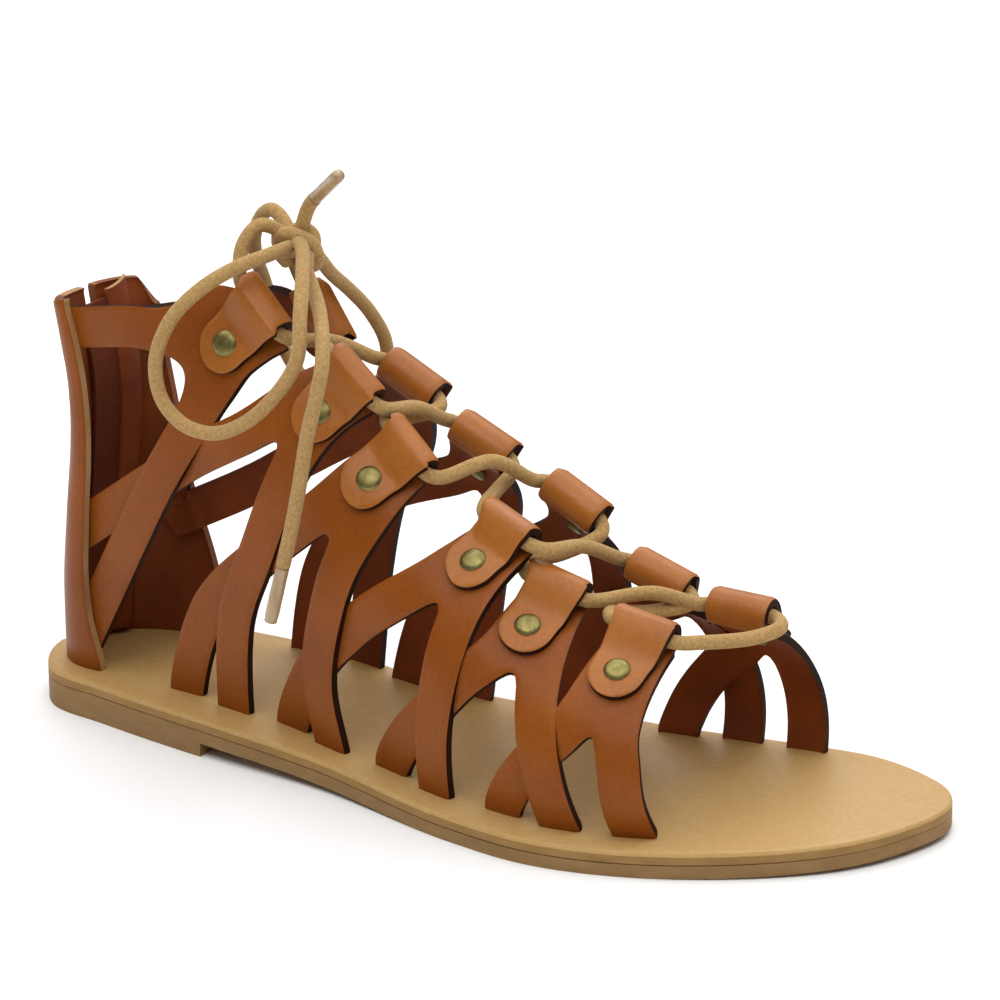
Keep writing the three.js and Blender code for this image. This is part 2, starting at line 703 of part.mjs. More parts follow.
// One half of the lace: up from the toe bar through every other loop of each side.
function laceHalf(firstSide) {
  const other = { lateral: 'medial', medial: 'lateral' };
  const half = loopWidth / 2;
  const points = [];
  let side = firstSide;
  for (let n = 6; n >= 1; n -= 1) {
    points.push(loopEnd(side, n, half), loopEnd(side, n, 0), loopEnd(side, n, -half));
    if (n > 1) {
      const from = loopEnd(side, n, -half - laceExit);
      const to = loopEnd(other[side], n - 1, half + laceExit);
      const way = to.clone().sub(from);
      const turned = (name, unit, by) => {
        const { axis } = loopFrame(name, units[name][unit - 1]);
        return way.clone().addScaledVector(axis, -way.dot(axis)).normalize().multiplyScalar(by);
      };
      const middle = from.clone().lerp(to, 0.5).addScaledVector(crossingUp, crossingRise[side][n]);
      points.push(from.clone().add(turned(side, n, laceTurn)), middle);
      points.push(to.clone().add(turned(other[side], n - 1, -laceTurn)));
    }
    side = other[side];
  }
  return { points, lastSide: other[side] };
}

const archPoints = {
  lateral: [[-56.3, -8.5, 127], [-56, -7, 131], [-54.1, -3.5, 134.7], [-52, -0.5, 134], [-49, 2.5, 130.5]],
  medial: [[-53.5, 11.5, 122.5], [-51, 7.5, 127], [-48, 4, 130]],
};
const vectors = (rows) => rows.map(([x, y, z]) => new THREE.Vector3(x, y, z));

function knotBody(grow = 0) {
  const ball = new THREE.SphereGeometry(1, 12, 8);
  ball.scale(knotRadii.x + grow, knotRadii.y + grow, knotRadii.z + grow);
  return solid(ball.translate(knotCentre.x, knotCentre.y, knotCentre.z));
}

function laceBody(grow = 0) {
  const radius = laceRadius + grow;
  const halves = ['lateral', 'medial'].map((side) => {
    const { points, lastSide } = laceHalf(side);
    return rod([...points, ...vectors(archPoints[lastSide])], radius, 2, 6);
  });
  const bar = rod([
    loopEnd('lateral', 6, 0), loopEnd('lateral', 6, 8.5), new THREE.Vector3(70.5, -5, 48.5),
    new THREE.Vector3(80, 4, 48.5), new THREE.Vector3(83.5, 11.5, 49.5), loopEnd('medial', 6, 8.5),
    loopEnd('medial', 6, 0),
  ], radius, 2, 6);
  return joined([...halves, bar]).subtract(knotBody(gap));
}

// The bow: each free run of the lace leaves the knot, and the two ends carry clear tips.
const bowRuns = {
  lace_loop_lateral: {
    rows: [
      [-46, 0, 130], [-47.5, -9, 129.5], [-52, -18, 127.5], [-57, -25, 123.5], [-63, -29.5, 116],
      [-66.5, -31.5, 105.5], [-65, -31.5, 96], [-59, -31.5, 90.5], [-50, -31.5, 89.5],
      [-41, -31, 93.5], [-32.5, -30.5, 101.5], [-27, -29, 111], [-29, -24, 121], [-34.5, -14, 128],
      [-41, -4, 131], [-46, 1, 131],
    ],
  },
  lace_loop_medial: {
    rows: [
      [-45.5, 5, 129], [-45, 10, 124.5], [-45.3, 16, 119], [-44.2, 23, 113], [-42.5, 29.5, 106],
      [-41, 34.5, 97], [-42.5, 36.5, 88], [-49, 37, 81.5], [-58, 37, 79.5], [-67, 36.5, 82.5],
      [-73, 35.5, 91], [-73.5, 32, 102], [-71.5, 25, 112], [-68.7, 17.5, 120], [-66, 13, 127],
      [-61.5, 10, 133.5], [-57.7, 8.5, 135.6], [-54.3, 7.5, 134.3], [-50, 5.5, 130.5],
    ],
  },
  lace_tail_front: {
    rows: [
      [-42, 0, 128], [-39.9, -4, 125.8], [-35.7, -8, 122.8], [-31, -13, 120.4], [-25.6, -20, 117.9],
      [-21.5, -26, 114.5], [-19.4, -30, 110], [-19.8, -32.2, 103], [-21.7, -33.3, 93.9],
      [-23.9, -34.2, 80], [-26.3, -34.8, 68.3], [-28.4, -35, 60],
    ],
    tip: [-32.6, -35.4, 43.3],
  },
  lace_tail_top: {
    rows: [
      [-46.5, 3, 131], [-45.2, 3.4, 135.2], [-43.9, 3.2, 138.4], [-42.1, 2.4, 140.8],
      [-40.2, 1.3, 142.4],
    ],
    tip: [-29.5, -4.9, 150.8],
  },
};

function agletPlace(run) {
  const from = new THREE.Vector3(...run.rows.at(-1));
  const way = new THREE.Vector3(...run.tip).sub(from).normalize();
  return { from, way };
}

function agletGeometry(run) {
  const { from, way } = agletPlace(run);
  const turn = new THREE.Quaternion().setFromUnitVectors(new THREE.Vector3(0, 1, 0), way);
  const at = from.clone().addScaledVector(way, gap + agletLength / 2);
  return placed(new THREE.CylinderGeometry(agletRadius, agletRadius, agletLength, 10), { at, turn });
}

// ---- assembly ----
const finishes = {
  leather: { color: 0x83421a, roughness: 0.5, metalness: 0 },
  insole: { color: 0xcda467, roughness: 0.6, metalness: 0 },
  outsole: { color: 0x8c7048, roughness: 0.7, metalness: 0 },
  cord: { color: 0xbe9b5f, roughness: 0.9, metalness: 0 },
  clear: { color: 0xaa8c6e, roughness: 0.3, metalness: 0 },
  brass: { color: 0x969250, roughness: 0.4, metalness: 0.9 },
  zip: { color: 0x4a2a1c, roughness: 0.6, metalness: 0.1 },
};
const sandal = new THREE.Group();
function add(name, geometry, finish, parent = sandal) {
  const mesh = new THREE.Mesh(geometry, new THREE.MeshStandardMaterial(finishes[finish]));
  mesh.name = name;
  parent.add(mesh);
}

const outsoleTop = (x) => soleTop(x) - insoleThick - gap;
const outsoleLow = (x) => soleTop(x) - treadHeight;
const slots = [];
const lattices = {};
for (const side of ['lateral', 'medial']) {
  lattices[side] = lattice(side);
  for (const unit of units[side]) {
    for (const leg of ['front', 'rear']) {
      if (!slotLegs[side].some((row) => row.n === unit.n && row.leg === leg)) continue;
      const [x, , lift] = legKnots(side, unit, leg).at(-1);
      const drop = [[x, 0.04, lift], [x, 0, lift], [x, -0.05, lift]];
      slots.push(band(side, unit, drop, steady(legWidth), leather, 3, slotRoom));
    }
  }
}

add('outsole', geometryOf(plate(outsoleLow, outsoleTop, {})), 'outsole');
add('heel', geometryOf(plate(() => 0, (x) => outsoleLow(x) - gap, { end: heelBreast, stations: 14 })),
  'outsole');
const insole = plate((x) => soleTop(x) - insoleThick, soleTop, { round: edgeRound });
add('insole', geometryOf(insole.subtract(joined(slots)).subtract(counterCavity(gap))), 'insole');
const counter = counterBody();
const laceRoom = laceBody(gap);
for (const side of ['lateral', 'medial']) {
  const cut = lattices[side].body.subtract(counterCavity(gap)).subtract(laceRoom);
  const kept = cut.decompose().filter((piece) => piece.volume() > 1);
  add(`upper_${side}`, geometryOf(joined(kept)), 'leather');
}
add('heel_counter', geometryOf(counter), 'leather');
add('zip_tape', geometryOf(zipBody()), 'zip');
add('zip_slider', geometryOf(sliderBody()), 'brass');
add('zip_pull', geometryOf(pullBody()), 'brass');
for (const side of ['lateral', 'medial']) {
  lattices[side].places.forEach((place, i) => {
    add(`rivet_${side}_${i + 1}`, rivetGeometry(place), 'brass');
  });
}
add('lace_crossings', geometryOf(laceBody()), 'cord');
add('lace_knot', geometryOf(knotBody()), 'cord');
for (const [name, run] of Object.entries(bowRuns)) {
  const tube = rod(vectors(run.rows), laceRadius).subtract(knotBody(gap));
  add(name, geometryOf(tube), 'cord');
  if (run.tip) add(name.replace('tail', 'tip'), agletGeometry(run), 'clear');
}

export default sandal;
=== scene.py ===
# Looks of a right-foot gladiator sandal: tan sole, riveted strap lattice, laced cord with a bow, zip heel.
# Tables are in millimetres, in the frame's own axes: +X toe, +Y inner side, +Z up. Meshes are in metres.
import math

import bmesh
import bpy
import numpy as np
from mathutils import Matrix, Vector


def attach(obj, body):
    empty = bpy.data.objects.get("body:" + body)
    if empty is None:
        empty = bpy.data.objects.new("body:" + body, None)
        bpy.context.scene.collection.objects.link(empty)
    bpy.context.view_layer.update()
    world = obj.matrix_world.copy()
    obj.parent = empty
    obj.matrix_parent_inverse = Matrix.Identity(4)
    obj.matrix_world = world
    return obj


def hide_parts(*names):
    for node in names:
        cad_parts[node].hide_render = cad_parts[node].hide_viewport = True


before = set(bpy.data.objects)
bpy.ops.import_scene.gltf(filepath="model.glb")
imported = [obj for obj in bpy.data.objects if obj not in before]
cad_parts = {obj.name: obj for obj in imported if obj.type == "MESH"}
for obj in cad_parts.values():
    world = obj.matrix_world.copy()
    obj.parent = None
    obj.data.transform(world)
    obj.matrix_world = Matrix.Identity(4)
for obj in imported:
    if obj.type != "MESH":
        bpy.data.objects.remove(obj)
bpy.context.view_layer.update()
mm = 0.001
sideNames = ("lateral", "medial")
print("frame loaded:", len(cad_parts), "nodes")

# Camera
view = {"place": (0.4985, -0.8416, 0.4040), "turn": 30.01, "down": 18.79, "roll": -0.28, "lens": 151.3}
cameraData = bpy.data.cameras.new("camera")
cameraData.lens = view["lens"]
cameraData.sensor_width = 36
camera = bpy.data.objects.new("camera", cameraData)
bpy.context.scene.collection.objects.link(camera)
camera.matrix_world = (
    Matrix.Translation(view["place"])
    @ Matrix.Rotation(math.radians(view["turn"]), 4, "Z")
    @ Matrix.Rotation(math.radians(90 - view["down"]), 4, "X")
    @ Matrix.Rotation(math.radians(view["roll"]), 4, "Z")
)
bpy.context.scene.camera = camera


# Materials
def linear(red, green, blue):
    def channel(value):
        value /= 255
        return value / 12.92 if value <= 0.04045 else ((value + 0.055) / 1.055) ** 2.4

    return (channel(red), channel(green), channel(blue), 1)


class Finish:
    def __init__(self, name, **values):
        self.material = bpy.data.materials.new(name)
        self.material.use_nodes = True
        self.tree = self.material.node_tree
        self.shader = self.tree.nodes["Principled BSDF"]
        for socket, value in values.items():
            self.shader.inputs[socket.replace("_", " ")].default_value = value
        self.coords = self.tree.nodes.new("ShaderNodeTexCoord")

    def node(self, kind, inputs=None, **settings):
        made = self.tree.nodes.new(kind)
        for name, value in settings.items():
            setattr(made, name, value)
        for name, value in (inputs or {}).items():
            if hasattr(value, "links"):
                self.tree.links.new(value, made.inputs[name])
            else:
                made.inputs[name].default_value = value
        return made

    def noise(self, scale, detail=2, stretch=(1, 1, 1), source="Object", roughness=0.5):
        spread = self.node("ShaderNodeMapping", {"Vector": self.coords.outputs[source], "Scale": stretch})
        made = self.node("ShaderNodeTexNoise", {
            "Vector": spread.outputs[0], "Scale": scale, "Detail": detail, "Roughness": roughness,
        })
        return made.outputs["Fac"]

    def ramp(self, factor, *stops):
        made = self.node("ShaderNodeValToRGB", {"Fac": factor})
        ramp = made.color_ramp
        while len(ramp.elements) < len(stops):
            ramp.elements.new(0.5)
        for element, (place, colour) in zip(ramp.elements, stops):
            element.position = place
            element.color = colour if hasattr(colour, "__len__") else (colour, colour, colour, 1)
        return made.outputs["Color"]

    def blend(self, factor, first, second, kind="MIX"):
        made = self.tree.nodes.new("ShaderNodeMix")
        made.data_type = "RGBA"
        made.blend_type = kind
        for index, value in ((0, factor), (6, first), (7, second)):
            if hasattr(value, "links"):
                self.tree.links.new(value, made.inputs[index])
            else:
                made.inputs[index].default_value = value
        return made.outputs[2]

    def maths(self, operation, first, second=0.0):
        made = self.tree.nodes.new("ShaderNodeMath")
        made.operation = operation
        for index, value in enumerate((first, second)):
            if hasattr(value, "links"):
                self.tree.links.new(value, made.inputs[index])
            else:
                made.inputs[index].default_value = value
        return made.outputs[0]

    def colour(self, output):
        self.tree.links.new(output, self.shader.inputs["Base Color"])

    def roughness(self, output):
        self.tree.links.new(output, self.shader.inputs["Roughness"])

    def bump(self, *layers):
        normal = None
        for height, strength, distance in layers:
            made = self.node("ShaderNodeBump", {"Height": height, "Strength": strength, "Distance": distance})
            if normal:
                self.tree.links.new(normal, made.inputs["Normal"])
            normal = made.outputs["Normal"]
        self.tree.links.new(normal, self.shader.inputs["Normal"])


def strapLeather(name, light, dark, shine):
    finish = Finish(name, Roughness=0.42, Specular_IOR_Level=shine, Coat_Weight=0.02, Coat_Roughness=0.3)
    tone = finish.ramp(finish.noise(38, 3), (0.3, linear(*dark)), (0.7, linear(*light)))
    grain = finish.ramp(finish.noise(900, 2), (0.35, 0.86), (0.6, 1.08))
    finish.colour(finish.blend(0.5, tone, grain, "MULTIPLY"))
    finish.roughness(finish.ramp(finish.noise(60, 3), (0.3, 0.36), (0.75, 0.48)))
    pores = finish.node("ShaderNodeTexVoronoi", {"Vector": finish.coords.outputs["Object"], "Scale": 1500})
    finish.bump((finish.noise(420, 4), 0.15, 0.0002), (pores.outputs["Distance"], 0.1, 0.0001))
    return finish.material


def plainLeather(name, light, dark, rough=0.62, shine=0.25):
    finish = Finish(name, Roughness=rough, Specular_IOR_Level=shine)
    finish.colour(finish.ramp(finish.noise(50, 3), (0.3, linear(*dark)), (0.7, linear(*light))))
    finish.bump((finish.noise(700, 4), 0.25, 0.0002))
    return finish.material


def insoleLeather():
    finish = Finish("insoleLeather", Roughness=0.5, Specular_IOR_Level=0.4)
    tone = finish.ramp(finish.noise(16, 3), (0.3, linear(178, 140, 84)), (0.7, linear(190, 153, 95)))
    speck = finish.ramp(finish.noise(700, 3), (0.3, linear(168, 131, 77)), (0.65, linear(196, 160, 103)))
    finish.colour(finish.blend(0.3, tone, speck))
    finish.roughness(finish.ramp(finish.noise(45, 4), (0.3, 0.42), (0.75, 0.6)))
    finish.bump((finish.noise(600, 4), 0.15, 0.0002))
    return finish.material


def soleEdge(name, light, dark):
    finish = Finish(name, Roughness=0.62, Specular_IOR_Level=0.25)
    fibres = finish.noise(130, 4, stretch=(1, 1, 3))
    finish.colour(finish.ramp(fibres, (0.25, linear(*dark)), (0.75, linear(*light))))
    finish.bump((finish.noise(900, 3), 0.2, 0.0002))
    return finish.material


def wovenCord():
    finish = Finish(
        "wovenCord", Roughness=0.85, Specular_IOR_Level=0.2, Sheen_Weight=0.15, Sheen_Roughness=0.5)
    grid = finish.node("ShaderNodeSeparateXYZ", {"Vector": finish.coords.outputs["UV"]})
    along, around = grid.outputs[0], grid.outputs[1]
    strands = 14          # strands each way round the cord
    pitch = 11.0          # millimetres for a strand to go once round
    turns = finish.maths("MULTIPLY", around, strands)
    steps = finish.maths("MULTIPLY", along, strands / pitch)
    right = finish.maths("PINGPONG", finish.maths("ADD", turns, steps), 0.5)
    left = finish.maths("PINGPONG", finish.maths("SUBTRACT", turns, steps), 0.5)
    weave = finish.maths("MULTIPLY", finish.maths("MULTIPLY", right, left), 4)
    # the colour is darker where the strands part and lighter on their crowns: painted shade in the grooves of
    # the weave, over the real weave pattern
    tone = finish.ramp(
        weave, (0.0, linear(158, 122, 72)), (0.5, linear(186, 149, 93)), (0.9, linear(199, 162, 104)))
    fluff = finish.ramp(finish.noise(1300, 3), (0.35, linear(162, 126, 75)), (0.65, linear(203, 167, 109)))
    finish.colour(finish.blend(0.5, tone, fluff))
    finish.bump((weave, 0.5, 0.0003), (finish.noise(2500, 3), 0.2, 0.0002))
    return finish.material


def clearTip():
    finish = Finish("clearTip", Roughness=0.22, Specular_IOR_Level=0.5, Coat_Weight=0.4, Coat_Roughness=0.15)
    streaks = finish.noise(300, 3, stretch=(1, 1, 0.2))
    finish.colour(finish.ramp(streaks, (0.3, linear(152, 120, 84)), (0.7, linear(186, 159, 122))))
    finish.bump((streaks, 0.2, 0.0002))
    return finish.material


def antiqueBrass(name, light, dark):
    finish = Finish(name, Metallic=1.0, Roughness=0.5)
    finish.colour(finish.ramp(finish.noise(700, 4), (0.3, linear(*dark)), (0.7, linear(*light))))
    finish.roughness(finish.ramp(finish.noise(1100, 3), (0.3, 0.36), (0.7, 0.48)))
    finish.bump((finish.noise(1600, 3), 0.08, 0.0001))
    return finish.material


def zipTape():
    finish = Finish("zipTape", Roughness=0.85, Specular_IOR_Level=0.15)
    ribs = finish.node("ShaderNodeTexWave", {
        "Vector": finish.coords.outputs["Object"], "Scale": 420.0, "Distortion": 0.4,
    }, bands_direction="Z")
    finish.colour(finish.ramp(ribs.outputs["Fac"], (0.2, linear(96, 45, 24)), (0.8, linear(104, 50, 27))))
    finish.bump((ribs.outputs["Fac"], 0.4, 0.0002))
    return finish.material


materials = {
    "leather": strapLeather("strapLeather", (143, 76, 18), (128, 64, 11), 0.18),
    # the tabs are the strap leather painted lighter: painted light where the top light falls on their upward
    # faces
    "tab": strapLeather("tabLeatherPaintedLight", (168, 101, 35), (153, 87, 25), 0.34),
    "insole": insoleLeather(), "cord": wovenCord(), "clear": clearTip(),
    "lining": plainLeather("liningLeather", (136, 64, 20), (106, 46, 12)),
    "edge": plainLeather("darkEdge", (48, 24, 14), (32, 15, 9), 0.7, 0.1),
    "rim": plainLeather("counterRim", (132, 74, 38), (98, 50, 22)),
    "raw": plainLeather("rawFold", (182, 144, 100), (150, 112, 72), 0.8, 0.12),
    "insoleEdge": soleEdge("insoleEdge", (160, 124, 74), (140, 106, 60)),
    "soleEdge": soleEdge("soleEdge", (152, 119, 76), (134, 103, 62)),
    "bottom": plainLeather("bottomLeather", (160, 127, 85), (134, 103, 66), 0.72, 0.2),
    "brass": antiqueBrass("antiqueBrass", (144, 134, 84), (116, 106, 62)),
    "tape": zipTape(), "teeth": plainLeather("zipTeeth", (96, 52, 32), (66, 34, 20), 0.4, 0.45),
}
print("materials ready:", len(materials))


# Mesh tools
def finishPiece(bm, name, mats, node=None, body="root", smooth=True):
    mesh = bpy.data.meshes.new(name)
    for face in bm.faces:
        face.smooth = smooth
    bm.to_mesh(mesh)
    bm.free()
    piece = bpy.data.objects.new(name, mesh)
    bpy.context.scene.collection.objects.link(piece)
    for finish in mats:
        mesh.materials.append(materials[finish])
    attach(piece, body)
    if node:
        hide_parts(*([node] if isinstance(node, str) else node))
    return piece


def grid(columns, rows, place, uvs=None):
    bm = bmesh.new()
    bmesh.ops.create_grid(bm, x_segments=columns, y_segments=rows, size=1)
    flat = np.array([v.co[:] for v in bm.verts])
    u, w = (flat[:, 0] + 1) / 2, (flat[:, 1] + 1) / 2
    points = place(u, w)
    for vert, point in zip(bm.verts, points):
        vert.co = Vector(point) * mm
    if uvs:
        layer = bm.loops.layers.uv.new("UVMap")
        mapped = uvs(u, w)
        for face in bm.faces:
            for loop in face.loops:
                loop[layer].uv = mapped[loop.vert.index]
    return bm


def curveThrough(points, each=12, closed=False):
    # centripetal curve through every point, the same as the solids follow
    points = np.array(points, float)
    if closed:
        ring = np.vstack([points[-1], points, points[0], points[1]])
    else:
        ring = np.vstack([2 * points[0] - points[1], points, 2 * points[-1] - points[-2]])
    runs = []
    for a, b, c, d in zip(ring, ring[1:], ring[2:], ring[3:]):
        gaps = [max(np.linalg.norm(q - p) ** 0.5, 1e-4) for p, q in ((a, b), (b, c), (c, d))]
        t1, t2 = gaps[0], gaps[0] + gaps[1]
        t3 = t2 + gaps[2]
        t = np.linspace(t1, t2, each, endpoint=False)[:, None]
        ab = (t1 - t) / t1 * a + t / t1 * b
        bc = (t2 - t) / gaps[1] * b + (t - t1) / gaps[1] * c
        cd = (t3 - t) / gaps[2] * c + (t - t2) / gaps[2] * d
        left = (t2 - t) / t2 * ab + t / t2 * bc
        right = (t3 - t) / (t3 - t1) * bc + (t - t1) / (t3 - t1) * cd
        runs.append((t2 - t) / gaps[1] * left + (t - t1) / gaps[1] * right)
    runs.append(ring[-2:-1] if not closed else points[:1])
    return np.vstack(runs)


def evenly(path, step):
    lengths = np.concatenate([[0], np.cumsum(np.linalg.norm(np.diff(path, axis=0), axis=1))])
    count = max(int(round(lengths[-1] / step)), 2)
    marks = np.linspace(0, lengths[-1], count + 1)
    return np.stack([np.interp(marks, lengths, path[:, i]) for i in range(3)], 1), lengths[-1]


def tube(path, radius, around=20, step=0.6):
    # a round tube with closed ends; the map runs in millimetres along and once around
    line, length = evenly(path, step)
    ahead = np.gradient(line, axis=0)
    ahead /= np.linalg.norm(ahead, axis=1)[:, None]
    side = np.zeros_like(line)
    side[0] = np.cross(ahead[0], (0.3, 0.2, 0.9))
    for i in range(len(line)):
        if i:
            side[i] = side[i - 1]
        side[i] -= ahead[i] * side[i].dot(ahead[i])
        side[i] /= np.linalg.norm(side[i])
    up = np.cross(ahead, side)
    radii = np.broadcast_to(radius, len(line)) if np.ndim(radius) == 0 else np.interp(
        np.linspace(0, 1, len(line)), np.linspace(0, 1, len(radius)), radius)

    def place(u, w):
        i = np.rint(u * (len(line) - 1)).astype(int)
        angle = w * 2 * math.pi
        return line[i] + radii[i][:, None] * (
            np.cos(angle)[:, None] * side[i] + np.sin(angle)[:, None] * up[i])

    bm = grid(len(line) - 1, around, place, lambda u, w: np.stack([u * length, w], 1))
    bmesh.ops.remove_doubles(bm, verts=bm.verts, dist=radii.min() * mm * 0.02)
    ends = [e for e in bm.edges if e.is_boundary]
    bmesh.ops.holes_fill(bm, edges=ends, sides=0)
    bmesh.ops.recalc_face_normals(bm, faces=bm.faces)
    return bm


def cubic(rows, key, value):
    # a smooth value read from a table's columns: cubic between rows, level beyond the ends
    keys = np.array([row[key] for row in rows], float)
    values = np.array([row[value] for row in rows], float)
    slopes = np.array([
        (values[min(i + 1, len(rows) - 1)] - values[max(i - 1, 0)])
        / (keys[min(i + 1, len(rows) - 1)] - keys[max(i - 1, 0)]) for i in range(len(rows))
    ])

    def read(at):
        at = np.clip(np.asarray(at, float), keys[0], keys[-1])
        i = np.clip(np.searchsorted(keys, at) - 1, 0, len(keys) - 2)
        h = keys[i + 1] - keys[i]
        t = (at - keys[i]) / h
        return (
            (2 * t**3 - 3 * t**2 + 1) * values[i] + (t**3 - 2 * t**2 + t) * h * slopes[i]
            + (3 * t**2 - 2 * t**3) * values[i + 1] + (t**3 - t**2) * h * slopes[i + 1]
        )

    return read


def table(columns, rows):
    return [dict(zip(columns.split(), row)) for row in rows]


def smooth(t):
    t = np.clip(t, 0, 1)
    return t * t * (3 - 2 * t)


# The lace
# Each free run of the bow, in metres, the same points that its solid follows.
# A run shorter than "free" diameters is held up by the knot.
bow = {
    "radius": 1.8, "tipRadius": 1.7, "tipLength": 15.0, "free": 6,
    "runs": {
        "laceLoopLateral": {
            "node": "lace_loop_lateral", "far": "object",
            "points": [
                (-0.046, 0, 0.130), (-0.0475, -0.009, 0.1295), (-0.052, -0.018, 0.1275),
                (-0.057, -0.025, 0.1235), (-0.063, -0.0295, 0.116), (-0.0665, -0.0315, 0.1055),
                (-0.065, -0.0315, 0.096), (-0.059, -0.0315, 0.0905), (-0.050, -0.0315, 0.0895),
                (-0.041, -0.031, 0.0935), (-0.0325, -0.0305, 0.1015), (-0.027, -0.029, 0.111),
                (-0.029, -0.024, 0.121), (-0.0345, -0.014, 0.128), (-0.041, -0.004, 0.131),
                (-0.046, 0.001, 0.131),
            ],
        },
        "laceLoopMedial": {
            "node": "lace_loop_medial", "far": "object",
            "points": [
                (-0.0455, 0.005, 0.129), (-0.045, 0.010, 0.1245), (-0.0453, 0.016, 0.119),
                (-0.0442, 0.023, 0.113), (-0.0425, 0.0295, 0.106), (-0.041, 0.0345, 0.097),
                (-0.0425, 0.0365, 0.088), (-0.049, 0.037, 0.0815), (-0.058, 0.037, 0.0795),
                (-0.067, 0.0365, 0.0825), (-0.073, 0.0355, 0.091), (-0.0735, 0.032, 0.102),
                (-0.0715, 0.025, 0.112), (-0.0687, 0.0175, 0.120), (-0.066, 0.013, 0.127),
                (-0.0615, 0.010, 0.1335), (-0.0577, 0.0085, 0.1356), (-0.0543, 0.0075, 0.1343),
                (-0.050, 0.0055, 0.1305),
            ],
        },
        "laceTailFront": {
            "node": "lace_tail_front", "far": "fitting", "tip": (-0.0326, -0.0354, 0.0433),
            "points": [
                (-0.042, 0, 0.128), (-0.0399, -0.004, 0.1258), (-0.0357, -0.008, 0.1228),
                (-0.031, -0.013, 0.1204), (-0.0256, -0.020, 0.1179), (-0.0215, -0.026, 0.1145),
                (-0.0194, -0.030, 0.110), (-0.0198, -0.0322, 0.103), (-0.0217, -0.0333, 0.0939),
                (-0.0239, -0.0342, 0.080), (-0.0263, -0.0348, 0.0683), (-0.0284, -0.035, 0.060),
            ],
        },
        "laceTailTop": {
            "node": "lace_tail_top", "far": "fitting", "tip": (-0.0295, -0.0049, 0.1508),
            "points": [
                (-0.0465, 0.003, 0.131), (-0.0452, 0.0034, 0.1352), (-0.0439, 0.0032, 0.1384),
                (-0.0421, 0.0024, 0.1408), (-0.0402, 0.0013, 0.1424),
            ],
        },
    },
}


def makeTip(name, node, start, toward):
    way = np.array(toward) - start
    way /= np.linalg.norm(way)
    ends = [start + way * bow["tipLength"] * t + 0.3 * way for t in np.linspace(0, 1, 9)]
    radii = np.array([1.0, 1.0, 0.98, 1.0, 1.0, 0.99, 1.0, 0.98, 0.9]) * bow["tipRadius"]
    bm = tube(np.array(ends), radii, around=20, step=0.8)
    return finishPiece(bm, name, ["clear"], node)


for name, run in bow["runs"].items():
    path = curveThrough(np.array(run["points"]) / mm)
    bm = tube(path, bow["radius"])
    piece = finishPiece(bm, name, ["cord"], run["node"])
    line, length = evenly(path, 2.0)
    partners = []
    if "tip" in run:
        tipNode = run["node"].replace("tail", "tip")
        partners.append(makeTip(name.replace("Tail", "Tip"), tipNode, path[-1], np.array(run["tip"]) / mm))
    run["made"] = (piece, line, length, partners)
print("bow ready")

knot = {
    "centre": (-46.2, 3.0, 128.8), "radius": 1.85, "scale": 0.95,
    # offsets to the right, up and towards the front in the plane that the knot faces
    "bands": [
        [(-5.6, 1.4, -2.5), (-5.2, 3.0, 0.5), (-3.2, 3.2, 3.0), (0.2, 2.4, 4.3), (3.2, 0.6, 3.8),
         (4.6, -2.0, 2.0), (4.2, -4.2, -0.8), (2.0, -4.6, -3.2), (-1.0, -3.0, -4.2)],
        [(-3.4, -3.6, -2.0), (-4.6, -2.0, 1.0), (-3.0, -1.2, 3.2), (0.0, -1.6, 3.6), (2.2, -3.0, 2.4),
         (2.4, -4.2, -0.5), (0.4, -4.6, -2.6)],
        [(-2.6, 2.2, -2.2), (-1.2, 4.4, -1.6), (1.4, 4.6, -0.6), (3.4, 3.0, 0.4), (3.8, 0.6, 0.4)],
        [(-2.0, -1.0, 0.0), (0.0, 0.4, 0.6), (2.0, 0.8, 0.0)],
    ],
}


def makeKnot():
    turn = math.radians(view["turn"])
    right = np.array((math.cos(turn), math.sin(turn), 0))
    front = np.array((math.sin(turn), -math.cos(turn), 0.35))
    front /= np.linalg.norm(front)
    up = np.cross(right, -front)
    whole = bmesh.new()
    for band in knot["bands"]:
        offsets = [
            np.array(knot["centre"]) + knot["scale"] * (a * right + b * up + c * front) for a, b, c in band
        ]
        part = tube(curveThrough(offsets), knot["radius"], step=0.5)
        mesh = bpy.data.meshes.new("band")
        part.to_mesh(mesh)
        part.free()
        whole.from_mesh(mesh)
        bpy.data.meshes.remove(mesh)
    return finishPiece(whole, "laceKnot", ["cord"], "lace_knot")


makeKnot()
for name, run in bow["runs"].items():
    piece, line, length, partners = run["made"]
print("knot and cords ready")

# Sole
sole = {
    "length": 250, "insoleThick": 3, "outsoleThick": 3.5, "seatHeight": 10.25, "toeSpring": 1.6,
    "shankStart": -70, "shankEnd": 20, "springStart": 55, "heelBreast": -61,
    "edgeRound": 1.1, "stations": 170, "across": 44,
    "outline": table("x lateral medial", [
        (-115, -13.7, 24.2), (-95, -19.0, 33.4), (-60, -25.5, 34.9), (-20, -30.2, 30.8), (20, -40.7, 36.3),
        (45, -43.7, 38.4), (70, -38.2, 42.3), (95, -25.2, 43.5), (112, -10.7, 37.2), (121, 4.0, 30.1),
    ]),
    "heelBack": (-125, 4.5), "toeTip": (125, 20),
}


def soleOutline():
    rows = sole["outline"]
    points = [sole["heelBack"], *[(r["x"], r["lateral"]) for r in rows], sole["toeTip"]]
    points += [(r["x"], r["medial"]) for r in reversed(rows)]
    ring = curveThrough([(x, y, 0) for x, y in points], each=24, closed=True)[:, :2]
    ring = np.roll(ring[:-1], -ring[:, 0].argmin(), axis=0)
    tip = ring[:, 0].argmax()
    outer, inner = ring[: tip + 1], np.vstack([ring[tip:], ring[:1]])[::-1]
    return outer, inner


outlines = dict(zip(sideNames, soleOutline()))
soleEnds = (outlines["lateral"][0, 0], outlines["lateral"][-1, 0])


def outlineY(side, x):
    ring = outlines[side]
    return np.interp(x, np.maximum.accumulate(ring[:, 0]), ring[:, 1])


